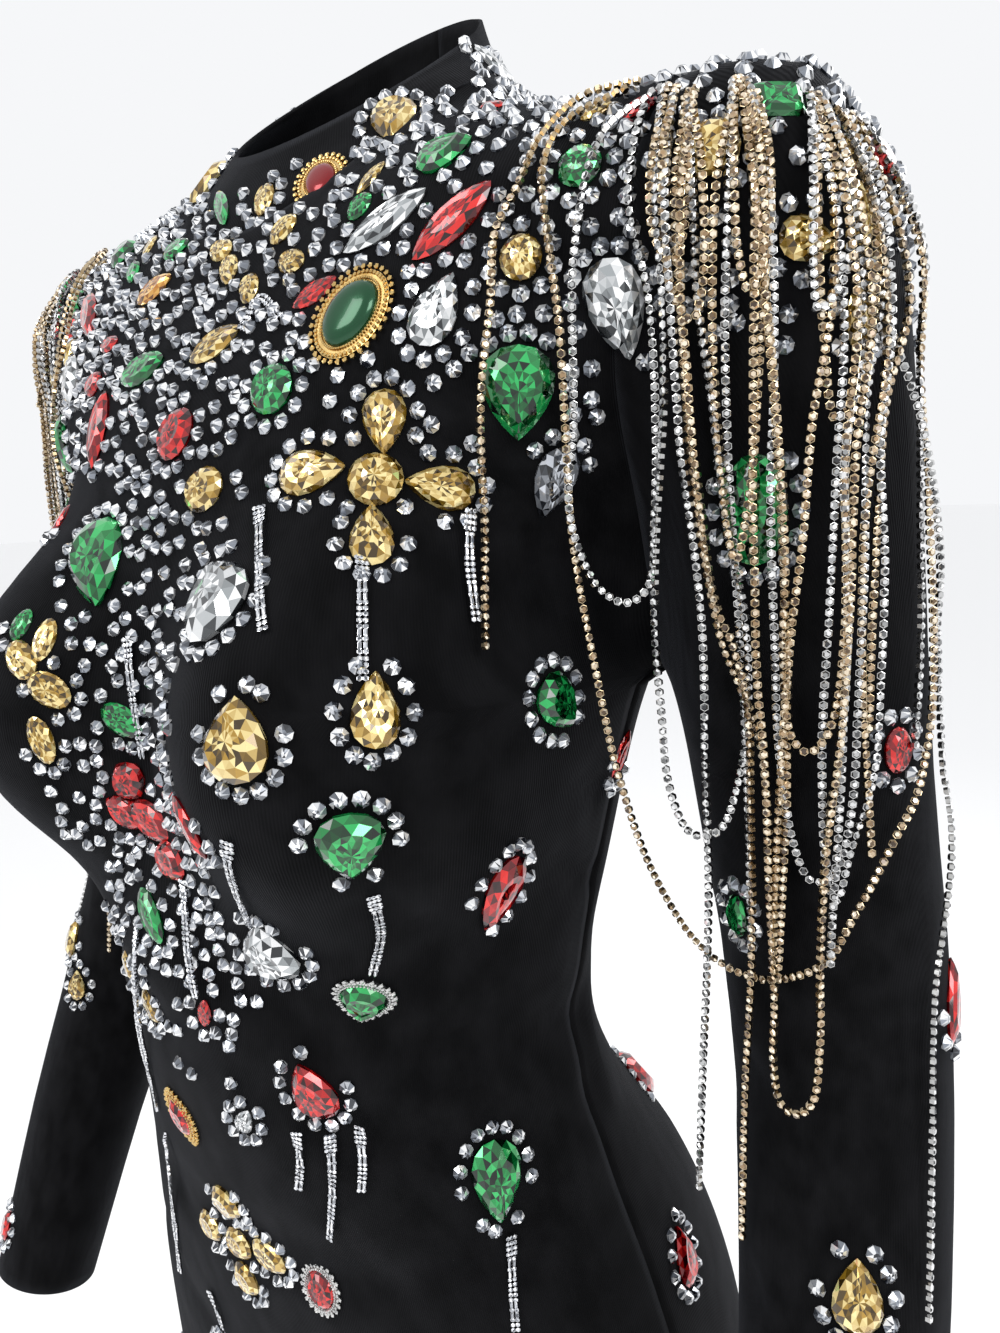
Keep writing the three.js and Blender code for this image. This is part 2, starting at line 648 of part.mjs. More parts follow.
function toSolid(geometry) {
  const plain = geometry.clone();
  plain.deleteAttribute('normal');
  plain.deleteAttribute('uv');
  const merged = mergeVertices(plain, 1e-4);
  return new wasm.Manifold(new wasm.Mesh({
    numProp: 3,
    vertProperties: new Float32Array(merged.attributes.position.array),
    triVerts: new Uint32Array(merged.index.array),
  }));
}

function fromSolid(solid) {
  const mesh = solid.getMesh();
  return closedShape(Array.from(mesh.vertProperties), Array.from(mesh.triVerts));
}

// Solid between rings that all have the same number of points, closed by a fan at each end
function ringSolid(rings, firstMiddle, lastMiddle) {
  const count = rings[0].length;
  const positions = [...rings.flat(), firstMiddle, lastMiddle].flatMap((p) => [p.x, p.y, p.z]);
  const faces = [];
  const first = rings.length * count;
  for (let j = 0; j < count; j += 1) {
    const next = (j + 1) % count;
    faces.push(first, next, j);
    const top = (rings.length - 1) * count;
    faces.push(first + 1, top + j, top + next);
    for (let i = 0; i + 1 < rings.length; i += 1) {
      const [a, b] = [i * count + j, i * count + next];
      faces.push(a, b, b + count, a, b + count, a + count);
    }
  }
  return toSolid(closedShape(positions, faces));
}

// Outline of a cut stone, one unit long and wide, its point at +1
const CUTS = {
  oval: countTo(5).map((i) => [Math.cos(radians(60 * i)), Math.sin(radians(60 * i))]),
  navette: [[1, 0], [0.45, 0.8], [-0.45, 0.8], [-1, 0], [-0.45, -0.8], [0.45, -0.8]],
  pear: [[1, 0], [0.2, 0.72], [-0.55, 0.92], [-1, 0], [-0.55, -0.92], [0.2, -0.72]],
};

// Nearest outer facet of a panel under a point, looking in along the normal
function facetUnder(panel, p, normal) {
  const ray = new THREE.Ray(p.clone().addScaledVector(normal, 12), normal.clone().negate());
  const hit = vec(0, 0, 0);
  let best = null;
  for (let i = 0; i + 1 < panel.outer.length; i += 1) {
    for (let j = 0; j + 1 < panel.outer[0].length; j += 1) {
      const a = panel.outer[i][j];
      if (a.distanceToSquared(p) > 9000) continue;
      const [b, c, d] = [panel.outer[i + 1][j], panel.outer[i + 1][j + 1], panel.outer[i][j + 1]];
      for (const [p1, p2, p3] of [[a, b, c], [a, c, d]]) {
        if (!ray.intersectTriangle(p1, p2, p3, false, hit)) continue;
        const far = hit.distanceTo(ray.origin);
        if (far < 26 && (best === null || far < best.far)) best = { far, point: hit.clone() };
      }
    }
  }
  return best && best.point;
}

// First facet of any panel that a line from outside meets, with its panel and smooth normal
function firstFacet(panels, from, way) {
  const ray = new THREE.Ray(from, way);
  const hit = vec(0, 0, 0);
  let best = null;
  for (const panel of panels) {
    for (let i = 0; i + 1 < panel.outer.length; i += 1) {
      for (let j = 0; j + 1 < panel.outer[0].length; j += 1) {
        const [a, b] = [panel.outer[i][j], panel.outer[i + 1][j]];
        const [c, d] = [panel.outer[i + 1][j + 1], panel.outer[i][j + 1]];
        for (const [p1, p2, p3] of [[a, b, c], [a, c, d]]) {
          if (!ray.intersectTriangle(p1, p2, p3, false, hit)) continue;
          const far = hit.distanceTo(from);
          if (best && far > best.far) continue;
          const normal = panel.normals[i][j].clone().add(panel.normals[i + 1][j + 1]).normalize();
          best = { far, panel, point: hit.clone(), normal };
        }
      }
    }
  }
  return best;
}

// A stone raised from a panel's outer face, or null where it would cross the panel's edge
function stoneSolid({ panel, middle, normal, lengthways, stone }, sink) {
  const sideways = normal.clone().cross(lengthways);
  const rise = Math.min(stone.wide * STONE_RISE, 6);
  const seat = facetUnder(panel, middle, normal);
  if (!seat) return null;
  const base = [];
  const girdle = [];
  const table = [];
  for (const [l, w] of CUTS[stone.cut]) {
    const flat = middle.clone()
      .addScaledVector(lengthways, l * stone.long / 2)
      .addScaledVector(sideways, w * stone.wide / 2);
    const foot = facetUnder(panel, flat, normal);
    if (!foot) return null;
    base.push(foot.clone().addScaledVector(normal, -sink));
    girdle.push(foot.clone().addScaledVector(normal, rise * 0.35));
    table.push(seat.clone().lerp(foot, STONE_TABLE).addScaledVector(normal, rise));
  }
  const under = seat.clone().addScaledVector(normal, -sink);
  const over = seat.clone().addScaledVector(normal, rise);
  return ringSolid([base, girdle, table], under, over);
}

// Join a stone to its panel, sunk deeper where the first depth would shut in a hollow
function raiseStone(place) {
  const { panel } = place;
  for (const sink of STONE_SINKS) {
    const stone = stoneSolid(place, sink);
    if (!stone) return;
    const joined = panel.solid.add(stone);
    const whole = joined.decompose().length === 1 && joined.genus() === panel.solid.genus();
    if (whole) {
      panel.solid = joined;
      return;
    }
  }
}

// Eye point, and the directions right, up and forward in the picture
function eyeFrame() {
  const azimuth = radians(EYE.azimuth);
  const at = vec(EYE.distance * Math.sin(azimuth), -EYE.distance * Math.cos(azimuth), EYE.z);
  const ahead = vec(-Math.sin(azimuth), Math.cos(azimuth), 0);
  const right = vec(Math.cos(azimuth), Math.sin(azimuth), 0);
  const up = vec(0, 0, 1);
  const turn = (a, b, angle) => {
    const [c, s] = [Math.cos(radians(angle)), Math.sin(radians(angle))];
    const first = a.clone().multiplyScalar(c).addScaledVector(b, s);
    const second = b.clone().multiplyScalar(c).addScaledVector(a, -s);
    return [first, second];
  };
  const [ahead2, right2] = turn(ahead, right, EYE.yaw);
  const [ahead3, up3] = turn(ahead2, up, EYE.pitch);
  const [right4, up4] = turn(right2, up3, EYE.roll);
  return { at, ahead: ahead3, right: right4, up: up4 };
}

const eye = eyeFrame();

function sightLine(px, py) {
  return eye.ahead.clone()
    .addScaledVector(eye.right, (px - PICTURE.middleX) / PICTURE.focal)
    .addScaledVector(eye.up, (PICTURE.middleY - py) / PICTURE.focal)
    .normalize();
}

const REACH = 900;
const seen = (px, py) => inwardTo(eye.at, sightLine(px, py), REACH);

// Direction on the cloth that looks upright in the picture, turned clockwise
function turned(normal, up, right, turn) {
  const way = up.clone().multiplyScalar(Math.cos(radians(turn)))
    .addScaledVector(right, Math.sin(radians(turn)));
  return way.addScaledVector(normal, -way.dot(normal)).normalize();
}

function stonePlaces(panels) {
  const places = [];
  const add = (from, way, up, right, turn, stone) => {
    const hit = firstFacet(panels, from, way);
    if (!hit) return;
    const lengthways = turned(hit.normal, up, right, turn);
    places.push({ panel: hit.panel, middle: hit.point, normal: hit.normal, lengthways, stone });
  };
  for (const stone of STONES) {
    const line = [eye.at, sightLine(stone.px, stone.py), eye.up, eye.right];
    add(...line, stone.turn, stone);
    if (stone.mirror) add(...line.map(mirrored), stone.turn, stone);
  }
  for (const stone of HIDDEN_STONES) {
    for (const hand of [1, -1]) {
      const from = vec(hand * stone.x, stone.side * REACH, stone.z);
      const right = vec(-stone.side * hand, 0, 0);
      add(from, vec(0, -stone.side, 0), vec(0, 0, 1), right, stone.turn, stone);
    }
  }
  return places;
}

// Points of a strand: rooted in the strip, on the cloth near its ends, and plumb in between
function strandRoute({ lift, laid, back, points }, strip) {
  const last = points.length - 1;
  const flatAhead = eye.ahead.clone().setZ(0).normalize();
  const reachOf = (p) => p.clone().sub(eye.at).dot(flatAhead);
  const onCloth = (index) => index < laid || index > last - back;
  const route = points.map(([px, py], index) => {
    const hit = seen(px, py);
    if (!hit || !onCloth(index)) return hit;
    const rooted = index === 0 || (back > 0 && index === last);
    if (!rooted) return hit.addScaledVector(clothNormal(hit), lift);
    const sight = new THREE.Ray(eye.at, sightLine(px, py));
    const [root] = [...strip].sort((a, b) => sight.distanceSqToPoint(a) - sight.distanceSqToPoint(b));
    return root.clone().addScaledVector(clothNormal(root), CHAIN.rootLift);
  });
  const firstReach = reachOf(route[laid - 1]);
  const lastReach = back > 0 ? reachOf(route[last - back + 1]) : firstReach;
  points.forEach(([px, py], index) => {
    if (onCloth(index)) return;
    const part = (index - laid + 1) / (last - back - laid + 2);
    const way = sightLine(px, py);
    const plumb = (firstReach + (lastReach - firstReach) * part) / way.dot(flatAhead);
    const hit = route[index];
    const near = hit ? hit.distanceTo(eye.at) - lift * 1.3 : Infinity;
    route[index] = eye.at.clone().addScaledVector(way, Math.min(plumb, near));
  });
  return route;
}

// One strand along a route, held clear of the cloth but for its roots
function chainSolid(route, looped, hand) {
  const loose = new THREE.CatmullRomCurve3(route, false, 'centripetal');
  const steps = Math.max(6, Math.round(loose.getLength() / CHAIN.step));
  const points = loose.getSpacedPoints(steps).map((p) => {
    const fromEnd = looped ? p.distanceTo(route.at(-1)) : Infinity;
    const fromRoot = Math.min(p.distanceTo(route[0]), fromEnd);
    const clear = Math.min(CHAIN.clear, CHAIN.rootLift + CHAIN.rootSlope * fromRoot);
    const short = Math.max(clear - clothDistance(p), 0);
    return hand(p.addScaledVector(clothNormal(p), fromRoot > 0 ? short : 0));
  });
  const curve = new THREE.CatmullRomCurve3(points, false, 'centripetal');
  const frames = curve.computeFrenetFrames(steps, false);
  const rings = countTo(steps).map((i) => {
    const middle = curve.getPointAt(i / steps);
    return countTo(CHAIN.sides - 1).map((k) => {
      const turn = radians(360 * (k + 0.5) / CHAIN.sides);
      return middle.clone()
        .addScaledVector(frames.normals[i], CHAIN.radius * Math.cos(turn))
        .addScaledVector(frames.binormals[i], CHAIN.radius * Math.sin(turn));
    });
  });
  return ringSolid(rings, curve.getPointAt(0), curve.getPointAt(1));
}

// Line of a narrow strip on the shoulder, from its plan dropped on the facets
function stripLine(cloth) {
  const onCloth = STRIP_PLAN.map(([x, y]) => firstFacet(cloth, vec(x, y, 0), vec(0, 0, -1)).point);
  const curve = new THREE.CatmullRomCurve3(onCloth, false, 'centripetal');
  return curve.getSpacedPoints(Math.round(curve.getLength() / STRIP.pace));
}

// A panel's wall, thicker outwards by the clearance that lies on it
function clearanceOf({ outer, normals, closedRound }) {
  const lifted = outer.map((line, i) => line.map((p, j) => (
    p.clone().addScaledVector(normals[i][j], STRIP.parted)
  )));
  return toSolid(wallGeometry(lifted, normals, WALL + STRIP.parted, closedRound));
}

// Shoulder strip, then the chains, fused to it by their roots
function chainFringe(side, cloth) {
  const hand = (p) => (side > 0 ? p : mirrored(p));
  const line = stripLine(cloth);
  const seat = (p, normal) => {
    const hit = firstFacet(cloth, p.clone().addScaledVector(normal, 20), normal.clone().negate());
    return hit.point;
  };
  const rings = line.map((p, i) => {
    const normal = clothNormal(p);
    const along = line[Math.min(i + 1, line.length - 1)].clone()
      .sub(line[Math.max(i - 1, 0)]).normalize();
    const across = normal.clone().cross(along).normalize();
    const feet = [-1, 0, 1].map((part) => (
      seat(p.clone().addScaledVector(across, part * STRIP.halfWidth), normal)
    ));
    const raised = (foot, height) => foot.clone().addScaledVector(normal, height);
    return [
      ...feet.map((foot) => raised(foot, STRIP.lift)),
      ...feet.map((foot) => raised(foot, STRIP.lift + STRIP.thick)).reverse(),
    ].map(hand);
  });
  const middle = (ring) => ring[1].clone().add(ring[4]).multiplyScalar(0.5);
  let solid = ringSolid(rings, middle(rings[0]), middle(rings.at(-1)));
  for (const strand of STRANDS) {
    solid = solid.add(chainSolid(strandRoute(strand, line), strand.back > 0, hand));
  }
  for (const panel of cloth) {
    solid = solid.subtract(clearanceOf(panel));
  }
  const [whole] = solid.decompose().sort((a, b) => b.volume() - a.volume());
  return fromSolid(whole);
}

// Closed row of zip teeth over the centre back seam, from the collar's edge down
function zipTeeth() {
  const collar = collarGrid();
  const stand = collar.map((line) => line[0]).reverse();
  const back = countTo(ROWS).slice(1).map(centreBack).filter((p) => p.z > ZIP_END_Z).map(creased);
  const line = [...stand, ...back];
  const rings = line.map((p, i) => {
    const down = line[Math.min(i + 1, line.length - 1)].clone().sub(line[Math.max(i - 1, 0)]);
    const out = down.cross(vec(1, 0, 0)).normalize();
    const normal = out.y < 0 ? out.negate() : out;
    const corner = (x, h) => p.clone().setX(x).addScaledVector(normal, h);
    const [w, low, high] = [ZIP.halfWidth, ZIP.lift, ZIP.lift + ZIP.thick];
    return [corner(-w, low), corner(w, low), corner(w, high), corner(-w, high)];
  });
  return fromSolid(ringSolid(rings, line[0], line.at(-1)));
}

function boxSolid(x, y, z, width, depth, height) {
  return toSolid(new THREE.BoxGeometry(width, depth, height).translate(x, y, z));
}

// Slider in its own frame: y out from the zip, z up. Its wedge body carries a bridge.
function sliderGeometry() {
  const outline = new THREE.Shape();
  outline.moveTo(-SLIDER.topWidth / 2, -SLIDER.length / 2);
  outline.lineTo(SLIDER.topWidth / 2, -SLIDER.length / 2);
  outline.lineTo(SLIDER.width / 2, SLIDER.length / 2);
  outline.lineTo(-SLIDER.width / 2, SLIDER.length / 2);
  outline.closePath();
  const body = new THREE.ExtrudeGeometry(outline, { depth: SLIDER.thick, bevelEnabled: false });
  body.rotateX(Math.PI / 2).translate(0, SLIDER.thick, 0);
  const { width, length, height, bar } = BRIDGE;
  const top = SLIDER.thick + height - bar / 2;
  const foot = (z) => boxSolid(0, SLIDER.thick + (height - 0.2) / 2, z, width, height + 0.2, bar);
  return fromSolid(toSolid(body)
    .add(foot((length - bar) / 2))
    .add(foot((bar - length) / 2))
    .add(boxSolid(0, top, 0, width, bar, length)));
}

// Pull tab in the same frame, hanging down from the bar that its axis runs through
function pullGeometry() {
  const { width, length, thick, bar, slot, slotLength, axis } = PULL;
  const y = SLIDER.thick + axis;
  const plate = boxSolid(0, y, bar / 2 - length / 2, width, thick, length);
  const hole = boxSolid(0, y, -bar / 2 - slotLength / 2, slot, thick * 2, slotLength);
  return fromSolid(plate.subtract(hole));
}

// Panels of cloth, each a wall between its outer points and the same points moved in
function panelOf(name, material, grid, normals, closedRound) {
  const outer = openSeams(grid, closedRound);
  const solid = toSolid(wallGeometry(outer, normals, WALL, closedRound));
  return { name, material, outer, normals, closedRound, solid };
}

function wornPanel(name, grid, closedRound) {
  const normals = grid.map((line) => line.map(clothNormal));
  return panelOf(name, velvet, grid.map((line) => line.map(creased)), normals, closedRound);
}

function collarPanel() {
  const grid = collarGrid();
  const normals = gridNormals(grid);
  grid[0].forEach((p, j) => {
    normals[0][j] = clothNormal(p);
  });
  return panelOf('collar', collarVelvet, grid, normals, false);
}

const panels = [
  wornPanel('front', frontGrid(), false),
  wornPanel('back_left', backGrid(1), false),
  wornPanel('back_right', backGrid(-1), false),
  wornPanel('sleeve_left', sleeveGrid(1), true),
  wornPanel('sleeve_right', sleeveGrid(-1), true),
  collarPanel(),
];
stonePlaces(panels).forEach(raiseStone);

const dress = new THREE.Group();
function addMesh(name, geometry, material, parent = dress) {
  const mesh = new THREE.Mesh(geometry, material);
  mesh.name = name;
  parent.add(mesh);
}
for (const panel of panels) {
  addMesh(panel.name, fromSolid(panel.solid), panel.material);
}
const worn = panels.slice(0, -1);
addMesh('chain_fringe_left', chainFringe(1, worn), chainMetal);
addMesh('chain_fringe_right', chainFringe(-1, worn), chainMetal);
addMesh('zip_teeth', zipTeeth(), zipCoil);

const slide = new THREE.Group();
slide.position.set(0, neckPoint(180).y + ZIP.lift + ZIP.thick + SLIDER.lift, SLIDER.z);
addMesh('zip_slider', sliderGeometry(), zipMetal, slide);
addMesh('zip_pull', pullGeometry(), zipMetal, slide);
dress.add(slide);

export default dress;
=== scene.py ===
"""Stage costume dress: black stretch velvet set with foil-backed glass stones and hung with cup
chain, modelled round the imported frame. Tables are in millimetres, meshes in metres."""
import math
import random

import bmesh
import bpy
import numpy as np
from bpy.props import FloatProperty, FloatVectorProperty, PointerProperty
from mathutils import Matrix, Vector
from mathutils.bvhtree import BVHTree


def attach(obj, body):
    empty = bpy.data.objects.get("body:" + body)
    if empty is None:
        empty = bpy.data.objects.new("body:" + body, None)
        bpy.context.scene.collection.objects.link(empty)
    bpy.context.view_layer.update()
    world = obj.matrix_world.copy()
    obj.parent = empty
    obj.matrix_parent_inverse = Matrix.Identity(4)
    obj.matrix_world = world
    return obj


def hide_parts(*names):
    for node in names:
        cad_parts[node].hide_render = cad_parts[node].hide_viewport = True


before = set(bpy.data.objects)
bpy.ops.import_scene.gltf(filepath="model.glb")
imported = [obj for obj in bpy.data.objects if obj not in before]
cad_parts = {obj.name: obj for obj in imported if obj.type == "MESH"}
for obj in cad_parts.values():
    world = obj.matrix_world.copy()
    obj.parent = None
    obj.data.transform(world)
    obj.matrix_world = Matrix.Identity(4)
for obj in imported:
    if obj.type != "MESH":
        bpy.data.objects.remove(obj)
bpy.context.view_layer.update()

bl_info = {
    "name": "Stage costume dress",
    "version": (1, 0, 0),
    "blender": (4, 5, 0),
    "location": "3D View > Sidebar > Dress",
    "description": "Builds a velvet stage dress with sewn stones and chain fringe",
    "category": "Add Mesh",
}

MM = 0.001
BODY = "dress"

# The worn form as level sections; front and back are measured from middle.
# z, half width, front, back, middle, roundness
SECTIONS = (
    (12, 56, 46, 52, 2, 2.0),
    (0, 64, 46, 56, 2, 2.0),
    (-12, 72, 46, 58, 4, 2.0),
    (-26, 84, 48, 60, 6, 2.0),
    (-38, 106, 52, 63, 8, 2.0),
    (-46, 138, 57, 66, 8, 2.0),
    (-56, 172, 65, 70, 8, 2.1),
    (-72, 186, 77, 76, 6, 2.3),
    (-100, 184, 90, 84, 4, 2.45),
    (-140, 172, 106, 88, 2, 2.5),
    (-190, 148, 120, 80, 0, 2.4),
    (-250, 139, 126, 70, -6, 2.25),
    (-310, 130, 122, 58, -14, 2.15),
    (-360, 124, 118, 52, -22, 2.1),
    (-400, 121, 110, 58, -26, 2.1),
    (-450, 130, 100, 86, -26, 2.1),
    (-520, 152, 94, 138, -20, 2.15),
    (-600, 172, 90, 160, -14, 2.2),
    (-680, 178, 88, 150, -10, 2.2),
    (-760, 176, 88, 128, -8, 2.2),
    (-860, 170, 88, 112, -6, 2.2),
)
# The wearer's left sleeve: middle of its tube x, y, z, and its radius
SLEEVE_LINE = (
    (181, 6, -100, 51),
    (193, 8, -190, 47),
    (204, 10, -290, 43),
    (218, 5, -380, 40),
    (230, -21, -470, 37),
    (240, -57, -560, 33),
    (250, -95, -665, 29),
)
CAP_END = 1.95
CUP_MIDDLE = np.array((74.0, -84.0, -266.0))
CUP_RADII = np.array((62.0, 80.0, 74.0))
CUP_BLEND = 36
SLEEVE_BLEND = 34
NECK_CAP_Z = 14
ARMHOLE_MIDDLE = np.array((160.0, 4.0, -148.0))
CAP_PIVOT = np.array((146.0, 4.0, -285.0))
NECK_MIDDLE_Y = 2
# The neck seam: its height at the side, how far it drops in front and rises behind, its scoop
NECK_SIDE_Z, NECK_FRONT_DROP, NECK_BACK_RISE, NECK_SCOOP = -20, 57, 6, 1.6
# The collar's upper edge, an ellipse tipped forward: middle, half sizes, height and slope
COLLAR_MIDDLE_Y, COLLAR_HALF_WIDTH, COLLAR_HALF_DEPTH = 4, 54, 58
COLLAR_EDGE_Z, COLLAR_SLOPE = -5, 0.69
# How far the collar's bottom row lies below the neck seam, so that no slit shows
COLLAR_TUCK = 1.5
HEM_Z = -840
# Going out to the cloth: first step, number of steps, the longest, and the share of each taken
FIRST_STEP, STEPS_OUT, LONGEST_STEP, STEP_SHARE = 8, 40, 30, 0.8
# Moving points on to the cloth: number of moves, and the longest
MOVES, LONGEST_MOVE = 8, 12
# Half width of the difference that a slope is taken from
SLOPE_STEP = 0.5
# Shares of the half width from which rows and side seams start outwards
ROW_START, SIDE_START = 0.8, 0.7
# Depths below the neck between which rows turn from the shoulder's slope to level
LEVEL_ROWS = (80, 140)
# How far in front of or behind the middle a crease of one side fades in
CREASE_FADE = (-16, -6)

# Largest creases: side, ends across and up the dress, half width and depth of the trough
FOLDS = (
    (-1, 20, -352, 122, -402, 15, 4),
    (-1, -118, -344, -16, -392, 15, 3.5),
    (-1, 46, -410, 132, -436, 13, 3),
    (-1, -126, -424, -40, -402, 13, 3),
    (-1, -60, -500, 66, -492, 18, 3),
    (-1, 96, -150, 140, -214, 13, 3),
    (-1, -140, -214, -96, -150, 13, 3),
    (1, -104, -352, 104, -362, 16, 4),
    (1, -112, -404, 60, -398, 14, 3.5),
    (1, 92, -150, 136, -214, 13, 3),
    (1, -136, -214, -92, -150, 13, 3),
    (-1, 186, -352, 242, -372, 12, 3),
    (-1, -242, -372, -186, -352, 12, 3),
    (-1, 196, -404, 252, -392, 12, 3),
    (-1, -252, -392, -196, -404, 12, 3),
)

# Finer pulls on the wearer's left, from point to point on the cloth, with half width and depth.
# The right side has the same ones a little lower.
PULLS = (
    ((125, -129, -265), (126, -22, -339), 7, 2.4),
    ((131, -111, -252), (134, -26, -299), 6, 1.8),
    ((109, -126, -314), (117, -35, -399), 8, 2.8),
    ((102, -101, -347), (120, -41, -421), 8, 2.6),
    ((135, -50, -206), (147, -15, -240), 7, 2.2),
    ((60, -140, -352), (114, -80, -392), 8, 1.8),
    ((120, -60, -470), (40, -122, -506), 9, 2.0),
    ((150, -60, -540), (50, -112, -574), 11, 2.0),
    ((160, -40, -650), (60, -98, -706), 13, 2.0),
    ((110, 40, -352), (60, 44, -330), 8, 2.0),
    ((112, 20, -388), (30, 36, -372), 8, 2.2),
    ((118, 30, -424), (40, 60, -432), 9, 2.0),
    ((190, -30, -392), (250, -30, -410), 7, 2.0),
    ((196, -52, -462), (262, -44, -494), 7, 2.4),
    ((204, -60, -500), (268, -60, -520), 6, 1.8),
    ((180, 40, -214), (232, 30, -236), 8, 2.0),
)
RIGHT_PULLS_LOWER = 16

# Facets along each edge of a cut piece
SHOULDER_COLUMNS = 18
HALF_NECK_COLUMNS = 24
ARMHOLE_ROWS = 44
SIDE_ROWS = 100
CAP_RINGS = 16
SLEEVE_RINGS = 60
SLEEVE_TURNS = 80
COLLAR_ROWS = 8
SEAM_DEPTH = 0.7
# Share of a body piece's rows over which its points come to be evenly spaced
EVEN_SHARE = 0.24

# Eye point and lens of the picture that the stones were read from
EYE_AZIMUTH, EYE_DISTANCE, EYE_Z = 44, 470, -180
EYE_YAW, EYE_PITCH, EYE_ROLL = 6.5, -10.5, -2.5
FOCAL, MIDDLE_X, MIDDLE_Y = 968, 500, 666.5
PICTURE_HEIGHT = 1333
# Below this the cloth is too edge-on to read a turn along the line of sight
LEAST_FACING = 0.25
SENSOR = 36
# How far in front of or behind the middle hidden stones are dropped on to the cloth, in metres
DROP_FROM = 0.9

